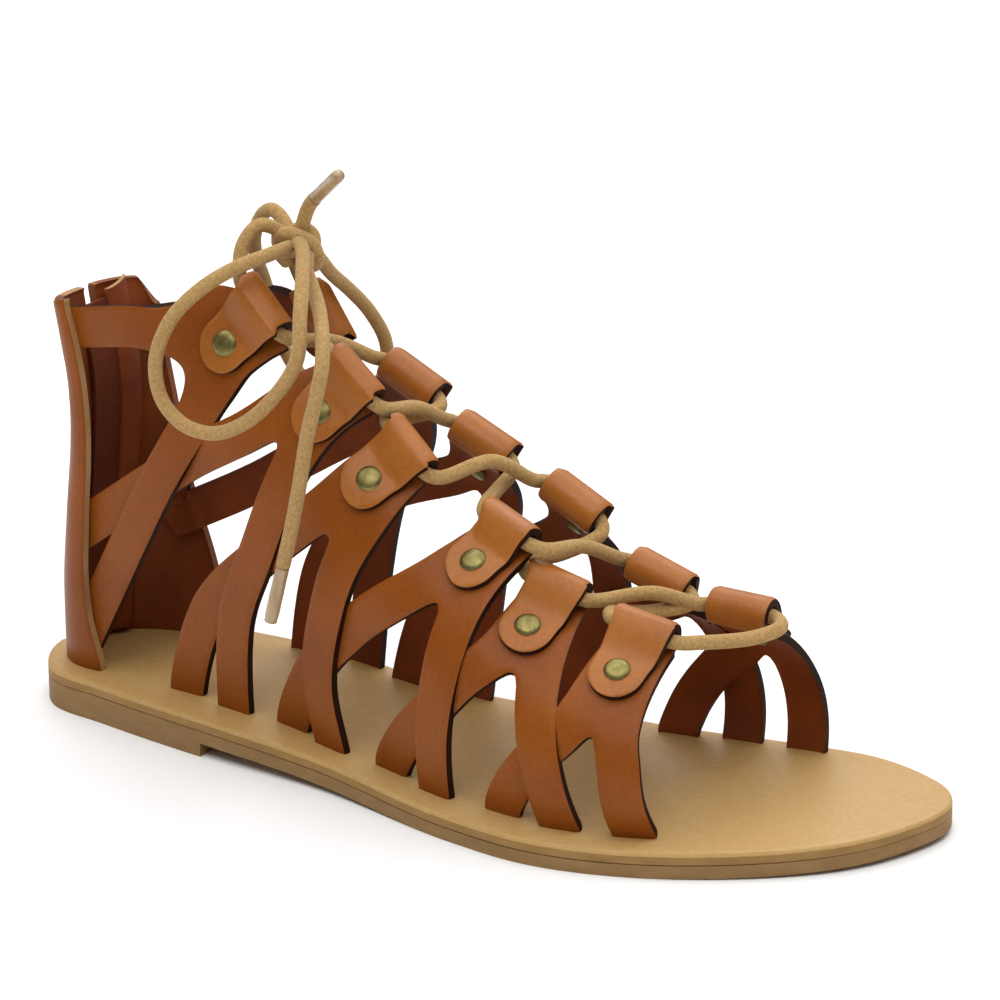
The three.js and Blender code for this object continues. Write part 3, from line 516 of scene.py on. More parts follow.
def soleTop(x):
    slope = smooth((x - sole["shankStart"]) / (sole["shankEnd"] - sole["shankStart"]))
    spring = np.clip((x - sole["springStart"]) / (sole["length"] / 2 - sole["springStart"]), 0, 1)
    flat = sole["insoleThick"] + sole["outsoleThick"]
    return sole["seatHeight"] + (flat - sole["seatHeight"]) * slope + sole["toeSpring"] * spring**2


def edgeDistance(x, y, end):
    ring = np.vstack([outlines["lateral"], outlines["medial"][::-1]])[::2]
    ring = ring[ring[:, 0] <= end + 0.01]
    points, start, side = np.stack([x, y], 1)[:, None], ring[:-1], np.diff(ring, axis=0)
    along = np.clip(((points - start) * side).sum(-1) / np.maximum((side * side).sum(-1), 1e-9), 0, 1)
    return np.linalg.norm(points - start - along[..., None] * side, axis=-1).min(axis=1)


def plate(name, node, low, high, mats, end=None, rounding=0.0):
    # a plate of the sole's outline between two heights, with a rounded top edge
    end = soleEnds[1] if end is None else end
    full = end == soleEnds[1]

    def plan(u, w):
        if full:
            x = soleEnds[0] + (end - soleEnds[0]) * (1 - np.cos(math.pi * u)) / 2
        else:
            x = soleEnds[0] + (end - soleEnds[0]) * (1 - np.cos(math.pi / 2 * u))
        side = np.sin((w - 0.5) * math.pi) * 0.5 + 0.5
        side = 0.35 * w + 0.65 * side
        a, b = outlineY("lateral", x), outlineY("medial", x)
        return x, a + (b - a) * side

    def top(u, w):
        x, y = plan(u, w)
        drop = 0
        if rounding:
            inside = np.clip(edgeDistance(x, y, end) / rounding, 0, 1)
            drop = rounding * (1 - np.sqrt(1 - (1 - inside) ** 2))
        return np.stack([x, y, high(x) - drop], 1)

    bm = grid(sole["stations"], sole["across"], top)
    bmesh.ops.remove_doubles(bm, verts=bm.verts, dist=1e-6)
    made = bmesh.ops.extrude_face_region(bm, geom=bm.faces[:], use_keep_orig=True)["geom"]
    lower = {part for part in made if isinstance(part, bmesh.types.BMVert)}
    for vert in lower:
        vert.co.z = float(low(vert.co.x / mm)) * mm
    bmesh.ops.recalc_face_normals(bm, faces=bm.faces)
    for face in bm.faces:
        count = sum(v in lower for v in face.verts)
        face.material_index = 2 if count == len(face.verts) else 1 if count else 0
    for edge in bm.edges:
        edge.smooth = not (edge.is_manifold and edge.calc_face_angle(0) > 0.7)
    return finishPiece(bm, name, mats, node)


plate("insole", "insole", lambda x: soleTop(x) - sole["insoleThick"], soleTop,
      ["insole", "insoleEdge", "bottom"], rounding=sole["edgeRound"])
treadHeight = sole["insoleThick"] + sole["outsoleThick"]
plate("outsole", "outsole", lambda x: soleTop(x) - treadHeight,
      lambda x: soleTop(x) - sole["insoleThick"] - 0.05, ["soleEdge", "soleEdge", "bottom"], rounding=0.3)
plate("heel", "heel", lambda x: 0 * x, lambda x: soleTop(x) - treadHeight - 0.01,
      ["soleEdge", "soleEdge", "bottom"], end=sole["heelBreast"])
print("sole ready")

# Heel counter, as a surface
counter = {
    "thick": 2.2, "top": 109, "foot": 7.6, "slit": 0.055, "slitBottom": 20, "squareness": 2 / 2.3,
    "columns": 150, "rows": 110, "lift": 0.35, "edge": 0.45, "flare": 1.6, "flareTop": 26,
    "fall": 2, "innerDrop": 6,
    "rowsByHeight": table("z back lateral medial lateralFront medialFront", [
        (7.6, -121, -9.5, 28.5, -103.5, -83.5), (20, -119.2, -12, 29, -103.5, -87.5),
        (35, -117.2, -13.8, 29, -103.8, -91.7), (52, -114.5, -15, 28.5, -102.2, -97),
        (74, -111.8, -15, 27.5, -100.6, -100.3), (88, -111.6, -15, 27, -101.2, -102.7),
        (100, -113.4, -15, 26.5, -103.2, -104.5), (109, -114.8, -14.5, 26, -106, -108.5),
    ]),
}
counterRead = {
    name: cubic(counter["rowsByHeight"], "z", name)
    for name in ("back", "lateral", "medial", "lateralFront", "medialFront")
}


def counterCrest(s):
    # the crest falls a little from the outer front edge to the inner, then steeply at the inner edge
    return counter["top"] - counter["fall"] * s - counter["innerDrop"] * smooth((s - 0.7) / 0.3)


def counterPoint(z, s, offset=0.0):
    # s runs from -1 at the outer front edge, round the back at 0, to 1 at the inner front edge
    z, s = np.broadcast_arrays(np.asarray(z, float), np.asarray(s, float))
    read = {name: reader(z) for name, reader in counterRead.items()}

    def at(t):
        side = np.where(t < 0, read["lateral"], read["medial"])
        front = np.where(t < 0, read["lateralFront"], read["medialFront"])
        middle = (read["lateral"] + read["medial"]) / 2
        angle = (1 - np.minimum(np.abs(t), 1)) * math.pi / 2
        past = np.maximum(np.abs(t) - 1, 0) * 50
        return np.stack([
            front + past - (front - read["back"]) * np.sin(angle) ** counter["squareness"],
            middle + (side - middle) * np.abs(np.cos(angle)) ** counter["squareness"], z,
        ], -1)

    along = at(s + 0.02) - at(s - 0.02)
    normal = np.stack([-along[..., 1], along[..., 0], 0 * z], -1)
    normal /= np.linalg.norm(normal, axis=-1)[..., None]
    out = np.where(np.abs(s) < 0.6, normal[..., 0] > 0, np.sign(normal[..., 1]) != np.sign(s))
    normal = np.where(out[..., None], -normal, normal)
    return at(s) + normal * np.asarray(offset, float)[..., None], normal


def insideCounter(side, points):
    # behind the counter's front edge a strap keeps just inside the counter's wall
    sign = -1 if side == "lateral" else 1
    levels, across = 48, 50
    heights = np.linspace(counter["foot"], counter["top"], levels)
    turns = sign * np.linspace(1.1, 0.3, across)
    walls = counterPoint(heights[:, None], turns[None], -counter["thick"] - strap["clear"])[0]
    level = np.rint(np.interp(points[..., 2], heights, np.arange(levels))).astype(int)
    for k in range(levels):
        at = (level == k) & (points[..., 0] < counterRead[side + "Front"](heights[k]) + 0.6)
        if at.any():
            wall = np.interp(points[at][:, 0], walls[k, ::-1, 0], walls[k, ::-1, 1])
            points[at, 1] = sign * np.minimum(sign * points[at][:, 1], sign * wall)
    return points


# The last that the straps lie on
# The wall leaves the insole at foot, swells to low and high, and closes on the line of the loops.
last = {
    "lateral": table("x foot low high ridge top", [
        (-112, -10.5, -14, -15, -14, 117), (-75, -13.5, -18.5, -20, -15, 118),
        (-57, -15.5, -21.5, -23, -11, 116.5), (-44, -17.5, -24, -25, -8, 110.5),
        (-26, -21.5, -28, -28, -8, 100), (-4, -27, -33, -32, -8, 82), (20, -33, -38, -36, -8, 66.5),
        (38, -35.5, -40.5, -36, -8, 54.5), (58, -33, -41, -35, -8, 47.5), (76, -27, -37, -31, -8, 44),
    ]),
    "medial": table("x foot low high ridge top", [
        (-112, 27, 27, 28, 20, 111), (-75, 33, 33, 31, 18, 111), (-57, 33, 35, 32, 16, 109.5),
        (-44, 31.5, 35, 32, 14, 105), (-26, 29.5, 35, 32, 14, 95), (-4, 30, 37, 34, 14, 81),
        (20, 34.5, 41, 38, 14, 70), (38, 36, 43, 39, 14, 59), (58, 38.5, 44, 38, 14, 50),
        (80, 41, 43.5, 36, 14, 46),
    ]),
}
lastHeights = (0.36, 0.8)     # low and high, as shares of the way from foot to top
lastRead = {
    side: {name: cubic(rows, "x", name) for name in ("foot", "low", "high", "ridge", "top")}
    for side, rows in last.items()
}

# Strap units from the ankle (1) to the toe (6): the loop's centre and direction, the distance
# from the loop to its rivet, and the roundness of the fork.
strap = {
    "thick": 2.0, "legWidth": 10.5, "loopWidth": 16.0, "loopOuter": 4.7, "tabPast": 7.2, "tuck": 2.05,
    "cell": 0.85, "hidden": 2.75, "edge": 0.35, "tabEnd": 7.0, "below": 0.028,
    "clear": 0.25,
    "units": {
        "lateral": table("x y z ax ay az drop crotch", [
            (-50.6, -9, 115.7, 12.4, -2, -11.6, 11, 19), (-24.1, -9, 101.4, 11.7, -2, -8.7, 10.6, 5),
            (-8.9, -9, 85.8, 10.5, -3, -7.8, 11.2, 5), (19.4, -9, 69.9, 14, -4, -4, 11.3, 5),
            (33, -9, 57.3, 14.9, 0, -3.7, 13.4, 6), (57.1, -9, 50.3, 15.6, 0, -2.5, 13.4, 4),
        ]),
        "medial": table("x y z ax ay az drop crotch", [
            (-48.5, 15, 108.4, 8.9, 0, -13.8, 11, 8), (-21.3, 15, 95.1, 14.3, 0, -7.3, 10.6, 5),
            (-0.9, 15, 82.1, 11.7, 1, -6.1, 11.2, 5), (24.9, 15, 70.7, 14.9, 0, -7.9, 11.3, 5),
            (49, 15, 55.1, 15.9, 0, -5.4, 13.4, 5), (71.5, 15, 50.4, 17.1, 0, -0.4, 13.4, 4),
        ]),
    },
    # legs that stand in the insole: three places on the middle line (x and height), and the foot
    "slotLegs": {
        "lateral": table("n leg forkX forkZ midX midZ lowX lowZ footX", [
            (2, "front", -33.5, 84, -45, 57, -54, 36, -57.3),
            (3, "rear", -26, 71, -46.5, 54, -65.5, 34, -74.5),
            (3, "front", -13, 70, -21.5, 49.6, -26.6, 26, -24.6),
            (4, "rear", 4.5, 58, -15.6, 43.3, -31.5, 25.6, -39.5),
            (4, "front", 17, 56, 13.7, 37.6, 11.6, 22, 11), (5, "rear", 26.5, 45, 12, 31, 0, 17, -5.7),
            (5, "front", 39, 42, 42, 29.7, 45.6, 17, 48.2), (6, "rear", 50.5, 34.5, 42, 24.5, 34.7, 14.2, 31),
            (6, "front", 61.5, 33, 63.7, 24.8, 65.2, 15, 66.4),
        ]),
        "medial": table("n leg forkX forkZ midX midZ lowX lowZ footX", [
            (2, "front", -26.8, 75, -38, 57.6, -43.6, 34.3, -45.5),
            (3, "rear", -14.2, 69, -42, 56, -58.5, 34, -63),
            (3, "front", -1.8, 63.3, -8.1, 47.3, -11.2, 27.9, -12),
            (4, "rear", 13.8, 57.3, -9.5, 44, -25, 27, -29.5),
            (4, "front", 26.2, 52.4, 24.9, 37.7, 24.2, 22.2, 24),
            (5, "rear", 43.8, 43.9, 24, 34.5, 12, 20, 8),
            (5, "front", 56.2, 40.3, 59.1, 29.1, 60.4, 17.7, 60.8),
            (6, "rear", 63.8, 35.5, 54, 26, 47, 15, 44.5),
            (6, "front", 76.2, 34.6, 77.2, 25.2, 77.7, 15.8, 77.8),
        ]),
    },
    # legs that end behind the heel counter
    "counterLegs": {
        "lateral": table("n leg viaX viaZ midX midZ edgeX edgeZ endX endZ", [
            (1, "rear", -66, 111, -86, 107.5, -104, 103.8, -110, 103),
            (1, "front", -60.5, 95, -79, 65.5, -104, 25, -109, 16.5),
            (2, "rear", -50, 86, -72.4, 72.7, -102, 51.8, -108, 47.5),
        ]),
        "medial": table("n leg viaX viaZ midX midZ edgeX edgeZ endX endZ", [
            (1, "rear", -66, 104.5, -84, 101, -104.5, 97, -110, 96),
            (1, "front", -70, 99.5, -86, 85.5, -98.5, 61, -104, 48),
            (2, "rear", -44, 76, -71, 59.3, -95, 46, -103.5, 42),
        ]),
    },
}
# A loop draws the wall to it: wholly within "near" along the shoe, less over the next "over", and only
# above a share of the way up. "lean" says which way the wall stands from the loop.
draw = {"near": 4, "over": 20, "above": 0.45, "lean": (0.4, -0.92)}
strap["loopRise"] = strap["loopOuter"] - strap["thick"]
strap["legOffset"] = (strap["loopWidth"] - strap["legWidth"]) / 2


def lastPoint(side, x, q):
    read = lastRead[side]
    foot = soleTop(x)
    rise = read["top"](x) - foot
    ys = [read["foot"](x), read["low"](x), read["high"](x), read["ridge"](x)]
    zs = [foot, foot + lastHeights[0] * rise, foot + lastHeights[1] * rise, read["top"](x)]
    p = 1 - q
    weights = (p**3, 3 * p * p * q, 3 * p * q * q, q**3)
    return np.stack([
        x + 0 * q, sum(w * y for w, y in zip(weights, ys)), sum(w * z for w, z in zip(weights, zs)),
    ], -1)


def loopFrame(unit):
    centre = np.array([unit["x"], unit["y"], unit["z"]], float)
    axis = np.array([unit["ax"], unit["ay"], unit["az"]], float)
    return centre, axis / np.linalg.norm(axis)


def strapPoint(side, unit, x, q):
    # near the top the wall turns to pass just under this strap's loop; below the insole it drops straight
    x, q = np.broadcast_arrays(np.asarray(x, float), np.asarray(q, float))
    centre, axis = loopFrame(unit)
    lean = 1 if side == "lateral" else -1
    below = strap["loopRise"] * np.array([0, lean * draw["lean"][0], draw["lean"][1]])
    reach = strap["loopWidth"] / 2 * axis[0]
    near = np.clip(x, centre[0] - reach, centre[0] + reach)
    onAxis = centre + below + ((near - centre[0]) / axis[0])[..., None] * axis
    shift = onAxis - lastPoint(side, near, np.ones_like(near))
    above = np.maximum(q, 0)
    fade = smooth(1 - (np.abs(x - near) - draw["near"]) / draw["over"])
    fade *= smooth((above - draw["above"]) / (1 - draw["above"]))
    point = lastPoint(side, x, above) + fade[..., None] * shift
    point[..., 2] += np.minimum(q, 0) * 100
    return point


def outward(side, unit, x, q):
    x, q = np.broadcast_arrays(np.asarray(x, float), np.maximum(np.asarray(q, float), 0))
    alongX = strapPoint(side, unit, x + 1, q) - strapPoint(side, unit, x - 1, q)
    alongQ = strapPoint(side, unit, x, np.minimum(q + 0.01, 1)) - strapPoint(
        side, unit, x, np.maximum(q - 0.01, 0))
    normal = np.cross(alongQ, alongX)
    normal /= np.linalg.norm(normal, axis=-1)[..., None]
    return -normal if side == "lateral" else normal


def search(low, high, tooLow):
    for halving in range(24):
        middle = (low + high) / 2
        under = tooLow(middle)
        low, high = np.where(under, middle, low), np.where(under, high, middle)
    return (low + high) / 2


def heightToQ(side, unit, x, z):
    return float(search(0.0, 1.0, lambda q: strapPoint(side, unit, x, q)[..., 2] < z))


def belowLoop(side, unit, distance, aside):
    # where the strap lies at a distance from its top edge, square to its loop's axis
    centre, axis = loopFrame(unit)
    distance, aside = np.broadcast_arrays(np.asarray(distance, float), np.asarray(aside, float))
    start = strapPoint(side, unit, centre[0] + aside * axis[0], 1.0)
    down = strapPoint(side, unit, centre[0], 0.8) - strapPoint(side, unit, centre[0], 1.0)
    down -= axis * down.dot(axis)
    down /= np.linalg.norm(down)
    x = start[..., 0] + down[0] * distance
    q = search(np.full_like(x, 0.2), np.ones_like(x), lambda q: np.linalg.norm(
        strapPoint(side, unit, x, q) - start, axis=-1) > distance)
    return x, q


def legLine(side, unit, n, leg):
    # the middle line of a leg: x, q and how far it lies off the wall
    sign = 1 if leg == "front" else -1
    under = -strap["tuck"] if leg == "rear" and n > 1 else 0
    start = belowLoop(side, unit, 0.0, sign * strap["legOffset"])[0]
    knots = [(float(start), 1.0, 0)]
    end = next((r for r in strap["counterLegs"][side] if r["n"] == n and r["leg"] == leg), None)
    slot = next((r for r in strap["slotLegs"][side] if r["n"] == n and r["leg"] == leg), None)
    if end:
        places = (("via", 0), ("mid", under), ("edge", -strap["hidden"]), ("end", -strap["hidden"]))
    else:
        places = (("fork", 0), ("mid", under), ("low", under))
    for name, lift in places:
        x = (end or slot)[name + "X"]
        knots.append((x, heightToQ(side, unit, x, (end or slot)[name + "Z"]), lift))
    if slot:
        knots += [(slot["footX"], 0, under), (slot["footX"], -0.05, under)]
    line = curveThrough([(x, q * 100, lift) for x, q, lift in knots], each=24)
    x, q, lift = line[:, 0], np.minimum(line[:, 1] / 100, 1), line[:, 2]
    return {"x": x, "q": q, "lift": lift, "points": strapPoint(side, unit, x, q), "ends": bool(end)}


def nearest(points, line):
    best = np.full(len(points), 1e9)
    which = np.zeros(len(points), int)
    a, b = line[:-1], line[1:]
    for start in range(0, len(points), 4000):
        p = points[start:start + 4000, None]
        ab = b - a
        t = np.clip(((p - a) * ab).sum(-1) / (ab * ab).sum(-1), 0, 1)
        gap = np.linalg.norm(p - a - t[..., None] * ab, axis=-1)
        which[start:start + 4000] = gap.argmin(1)
        best[start:start + 4000] = gap.min(1)
    return best, which


def strapSheet(side, unit, n):
    legs = {leg: legLine(side, unit, n, leg) for leg in ("rear", "front")}
    xs = np.concatenate([line["x"] for line in legs.values()])
    low, high = xs.min() - 10, xs.max() + 10
    centre, axis = loopFrame(unit)
    # a unit with a leg in the insole goes on below it; the others stop under their lowest leg
    lowest = min(line["q"].min() for line in legs.values())
    bottomQ = max(lowest - 0.1, 0) if all(line["ends"] for line in legs.values()) else -strap["below"]
    wallLength = np.linalg.norm(np.diff(strapPoint(side, unit, centre[0], np.linspace(bottomQ, 1, 60)),
                                        axis=0), axis=1).sum()
    columns, rows = int((high - low) / strap["cell"]), int(wallLength / strap["cell"])

    def field(x, q):
        flat = strapPoint(side, unit, x.ravel(), q.ravel())
        gapR, atR = nearest(flat, legs["rear"]["points"])
        gapF, atF = nearest(flat, legs["front"]["points"])
        half = strap["legWidth"] / 2
        a, b = gapR - half, gapF - half
        h = np.maximum(unit["crotch"] - np.abs(a - b), 0) / unit["crotch"]
        s = np.minimum(a, b) - h * h * unit["crotch"] / 4
        for line, gap, at in ((legs["rear"], gapR, atR), (legs["front"], gapF, atF)):
            if line["ends"]:
                tip = (at >= len(line["x"]) - 2) & (gap <= np.minimum(gapR, gapF) + 1e-6)
                s = np.where(tip, np.maximum(s, 0.5), s)
        share = smooth((gapF - gapR) / 6 + 0.5)
        lift = share * legs["rear"]["lift"][atR] + (1 - share) * legs["front"]["lift"][atF]
        return s.reshape(x.shape), lift.reshape(x.shape)

    x, q = np.meshgrid(np.linspace(low, high, columns + 1), np.linspace(bottomQ, 1, rows + 1), indexing="ij")
    s, lift = field(x, q)
    # corners nearest to the outline move on to it
    moves = np.full(x.shape, 1.0)
    newX, newQ, on = x.copy(), q.copy(), np.abs(s) < 1e-3
    for step in ((1, 0), (0, 1)):
        a = (slice(0, x.shape[0] - step[0]), slice(0, x.shape[1] - step[1]))
        b = (slice(step[0], None), slice(step[1], None))
        crossing = s[a] * s[b] < 0
        t = np.where(crossing, s[a] / np.where(crossing, s[a] - s[b], 1), 9)
        cutX, cutQ = x[a] + t * (x[b] - x[a]), q[a] + t * (q[b] - q[a])
        for corner, share in ((a, t), (b, 1 - t)):
            take = crossing & (share <= 0.5) & (share < moves[corner])
            moves[corner] = np.where(take, share, moves[corner])
            newX[corner] = np.where(take, cutX, newX[corner])
            newQ[corner] = np.where(take, cutQ, newQ[corner])
            on[corner] |= take
    state = np.where(on, 0, np.sign(s)).astype(int)
    s, lift = field(newX, newQ)
    place = strapPoint(side, unit, newX, newQ)
    ways = outward(side, unit, newX, newQ)
    place += ways * (lift - np.where(state == 0, strap["edge"], 0))[..., None]
    place = insideCounter(side, place)

    bm = bmesh.new()
    bmesh.ops.create_grid(bm, x_segments=columns, y_segments=rows, size=1)
    inwards = bm.verts.layers.float_vector.new("inwards")
    kinds = {}
    for vert in bm.verts:
        i, j = round((vert.co.x + 1) / 2 * columns), round((vert.co.y + 1) / 2 * rows)
        kinds[vert] = state[i, j]
        vert.co = Vector(place[i, j]) * mm
        vert[inwards] = Vector(ways[i, j]) * -mm
    gone = []
    for face in bm.faces[:]:
        kind = [kinds[v] for v in face.verts]
        if 1 not in kind:
            continue
        if kind.count(1) == 1 and len(kind) == 4:
            k = kind.index(1)
            if kind[k - 1] == 0 and kind[(k + 1) % 4] == 0 and kind[(k + 2) % 4] == -1:
                corner = face.verts[k]
                bmesh.utils.face_split(face, face.verts[k - 1], face.verts[(k + 1) % 4])
                gone += [f for f in corner.link_faces if len(f.verts) == 3 and all(
                    kinds[v] == 0 for v in f.verts if v is not corner)]
                continue
        gone.append(face)
    bmesh.ops.delete(bm, geom=list({f for f in gone if f.is_valid}), context="FACES")
    bmesh.ops.remove_doubles(bm, verts=bm.verts, dist=0.12 * mm)
    return bm


def thicken(bm, thickness):
    # a wall from a sheet: materials 0 outside, 1 inside, 2 round the edge
    inwards = bm.verts.layers.float_vector["inwards"]
    sample = max(bm.faces, key=lambda f: f.calc_area())
    bm.normal_update()
    if sample.normal.dot(sample.verts[0][inwards]) > 0:
        bmesh.ops.reverse_faces(bm, faces=bm.faces)
    made = bmesh.ops.extrude_face_region(bm, geom=bm.faces[:], use_keep_orig=True)["geom"]
    inner = {part for part in made if isinstance(part, bmesh.types.BMVert)}
    for vert in inner:
        vert.co += vert[inwards] * thickness
    bmesh.ops.recalc_face_normals(bm, faces=bm.faces)
    for face in bm.faces:
        count = sum(v in inner for v in face.verts)
        face.material_index = 1 if count == len(face.verts) else 2 if count else 0
    for edge in bm.edges:
        kinds = {f.material_index for f in edge.link_faces}
        edge.smooth = len(kinds) < 2
    return bm


tabRows = {"turn": 18, "run": 22, "end": 10, "across": 18}


def tabSheet(side, unit):
    centre, axis = loopFrame(unit)
    x1, q1 = belowLoop(side, unit, 3.0, 0.0)
    down = strapPoint(side, unit, x1, q1) - strapPoint(side, unit, centre[0], 1.0)
    down -= axis * down.dot(axis)
    down /= np.linalg.norm(down)
    up = np.cross(axis, down)
    if up[2] < 0:
        up = -up
    half, end = strap["loopWidth"] / 2, strap["tabEnd"]
    outer = strap["loopOuter"]
    flat = unit["drop"] - 3.5
    length = unit["drop"] + strap["tabPast"]
    total = tabRows["turn"] + tabRows["run"] + tabRows["end"]
    high = outer + strap["loopRise"]

    def place(u, w):
        row = np.rint(u * total)
        side01 = w * 2 - 1
        turning = row < tabRows["turn"]
        angle = np.radians(-100 + 190 * row / tabRows["turn"])
        ring = centre + (side01 * half)[:, None] * axis + outer * (
            -np.cos(angle)[:, None] * down + np.sin(angle)[:, None] * up)
        way = -np.cos(angle)[:, None] * down + np.sin(angle)[:, None] * up
        past = row - tabRows["turn"]
        run = np.clip(past / tabRows["run"], 0, 1)
        arc = np.clip((past - tabRows["run"]) / tabRows["end"], 0, 1) * math.pi / 2
        distance = run * (length - end) + end * np.sin(arc)
        wide = (half + (end - half) * smooth(run)) * np.cos(arc)
        x, q = belowLoop(side, unit, distance, side01 * np.maximum(wide, 0.02))
        lift = high + (strap["thick"] - high) * smooth(distance / flat) + 0.05
        normal = outward(side, unit, x, q)
        start = smooth(distance / 4)[:, None]
        normal = normal * start + up * (1 - start)
        normal /= np.linalg.norm(normal, axis=-1)[:, None]
        tab = strapPoint(side, unit, x, q) + normal * lift[:, None]
        edge = strap["edge"] * ((np.abs(side01) > 0.99) | (row == total))
        points = np.where(turning[:, None], ring, tab)
        ways = np.where(turning[:, None], way, normal)
        return points - ways * edge[:, None], ways

    bm = bmesh.new()
    bmesh.ops.create_grid(bm, x_segments=total, y_segments=tabRows["across"], size=1)
    flatPlace = np.array([v.co[:] for v in bm.verts])
    points, ways = place((flatPlace[:, 0] + 1) / 2, (flatPlace[:, 1] + 1) / 2)
    inwards = bm.verts.layers.float_vector.new("inwards")
    for vert, point, way in zip(bm.verts, points, ways):
        vert.co = Vector(point) * mm
        vert[inwards] = Vector(way) * -mm
    bmesh.ops.remove_doubles(bm, verts=bm.verts, dist=0.05 * mm)
    return thicken(bm, strap["thick"] - 0.1)


rivet = {"head": 3.25, "height": 1.05, "rim": 0.3, "shank": 1.4, "washer": 2.4, "under": -4.7}


def makeRivet(name, node, side, unit):
    x, q = belowLoop(side, unit, unit["drop"], 0.0)
    normal = Vector(outward(side, unit, x, q))
    place = Vector(strapPoint(side, unit, x, q)) + normal * (strap["thick"] + 0.05)
    bm = bmesh.new()
    under, rim = rivet["under"], rivet["rim"]
    head, washer = rivet["head"], rivet["washer"]
    profile = [
        (0, under - 0.6), (washer - 0.3, under - 0.6), (washer, under - 0.3), (washer, under),
        (rivet["shank"], under), (rivet["shank"], 0), (head - 0.1, 0), (head, 0.15), (head - 0.12, rim),
    ]
    for step in range(1, 9):
        angle = math.pi / 2 * step / 8
        profile.append(((head - 0.3) * math.cos(angle), rim + (rivet["height"] - rim) * math.sin(angle)))
    verts = [bm.verts.new((r, 0, h)) for r, h in profile]
    edges = [bm.edges.new(pair) for pair in zip(verts, verts[1:])]
    bmesh.ops.spin(bm, geom=verts + edges, cent=(0, 0, 0), axis=(0, 0, 1), angle=2 * math.pi, steps=36,
                   use_merge=True)
    bmesh.ops.remove_doubles(bm, verts=bm.verts, dist=1e-4)
    bmesh.ops.recalc_face_normals(bm, faces=bm.faces)
    turn = Vector((0, 0, 1)).rotation_difference(normal).to_matrix().to_4x4()
    bmesh.ops.transform(bm, verts=bm.verts, matrix=Matrix.Scale(mm, 4) @ Matrix.Translation(place) @ turn)
    for edge in bm.edges:
        edge.smooth = not (edge.is_manifold and edge.calc_face_angle(0) > 0.8)
    return finishPiece(bm, name, ["brass"], node)


for side in sideNames:
    for n, unit in enumerate(strap["units"][side], 1):
        title, node = side.capitalize() + str(n), "upper_" + side
        body = thicken(strapSheet(side, unit, n), strap["thick"])
        finishPiece(body, "strap" + title, ["leather", "lining", "edge"], node)
        finishPiece(tabSheet(side, unit), "tab" + title, ["tab", "lining", "edge"], node)
        makeRivet("rivet" + title, f"rivet_{side}_{n}", side, unit)
    print("straps ready:", side)

# Heel counter and zip
def sheetOf(columns, rows, place, keep=None):
    # a sheet over u and w, with the way inwards kept at each corner; keep says which cells stay
    bm = bmesh.new()
    bmesh.ops.create_grid(bm, x_segments=columns, y_segments=rows, size=1)
    flat = (np.array([v.co[:] for v in bm.verts])[:, :2] + 1) / 2
    if keep:
        gone = [f for f in bm.faces if not keep((f.calc_center_median().x + 1) / 2,
                                                (f.calc_center_median().y + 1) / 2)]
    points, ways = place(flat[:, 0], flat[:, 1])
    inwards = bm.verts.layers.float_vector.new("inwards")
    share = bm.verts.layers.float.new("share")
    for vert, point, way, u in zip(bm.verts, points, ways, flat[:, 0]):
        vert.co = Vector(point) * mm
        vert[inwards] = Vector(way) * -mm
        vert[share] = u
    if keep:
        bmesh.ops.delete(bm, geom=gone, context="FACES")
    return bm


def brownRims(bm, raw):
    share = bm.verts.layers.float["share"]
    for face in bm.faces:
        middle = sum(v[share] for v in face.verts) / len(face.verts)
        if face.material_index == 2 and not raw(middle, face.normal.z > 0.6):
            face.material_index = 3


def makeCounter():
    slit = counter["slit"]
    low, high = counter["foot"] + counter["lift"], counter["slitBottom"]
    # columns stand closer at the slit, so that its edges lie on them
    half = counter["columns"] // 2

    def around(u):
        k = u * 2 - 1
        mark = 1 / half
        return np.sign(k) * np.where(np.abs(k) < mark * 1.01, np.abs(k) / mark * slit,
                                     slit + (np.abs(k) - mark) / (1 - mark) * (1 - slit))

    def place(u, w):
        s = around(u)
        z = low + (counterCrest(s) - low) * w
        edge = counter["edge"] * ((u < 0.001) | (u > 0.999) | (w > 0.999))
        # the front edge flares at its foot, where it is turned on to the insole
        flare = counter["flare"] * smooth((np.abs(s) - 0.9) / 0.1) * smooth((counter["flareTop"] - z) / 16)
        point, normal = counterPoint(z, s, -edge)
        point[:, 0] += flare
        return point, normal

    def keep(u, w):
        k = abs(u * 2 - 1)
        s = float(around(np.array([u]))[0])
        z = low + (counterCrest(s) - low) * w
        return k > 1 / half or z < high

    bm = thicken(sheetOf(counter["columns"], counter["rows"], place, keep), counter["thick"])
    # the raw cut shows only on the outer front edge and beside the zip
    brownRims(bm, lambda u, up: u < 0.004 or up and 0.3 < u < 0.52)
    return finishPiece(bm, "heelCounter", ["leather", "lining", "raw", "rim"], "heel_counter")


makeCounter()


def counterStrip(name, mats, strip, top, node=None):
    # a strip behind the counter's wall, from start to end round it, crowned across
    def place(u, w):
        s = strip["start"] + (strip["end"] - strip["start"]) * u
        z = strip["foot"] + (top(s) - strip["foot"]) * w
        lift = strip["crown"] * np.sin(math.pi * u) ** 0.5 - counter["thick"] - strip["behind"]
        return counterPoint(z, s, lift)

    bm = thicken(sheetOf(strip["columns"], strip["rows"], place), strip["thick"])
    brownRims(bm, lambda u, up: up)
    return finishPiece(bm, name, mats, node)


tape = {"foot": 16, "belowTop": 4, "start": -0.16, "end": 0.16, "behind": 0.6, "crown": 0, "thick": 0.9,
        "columns": 30, "rows": 60}
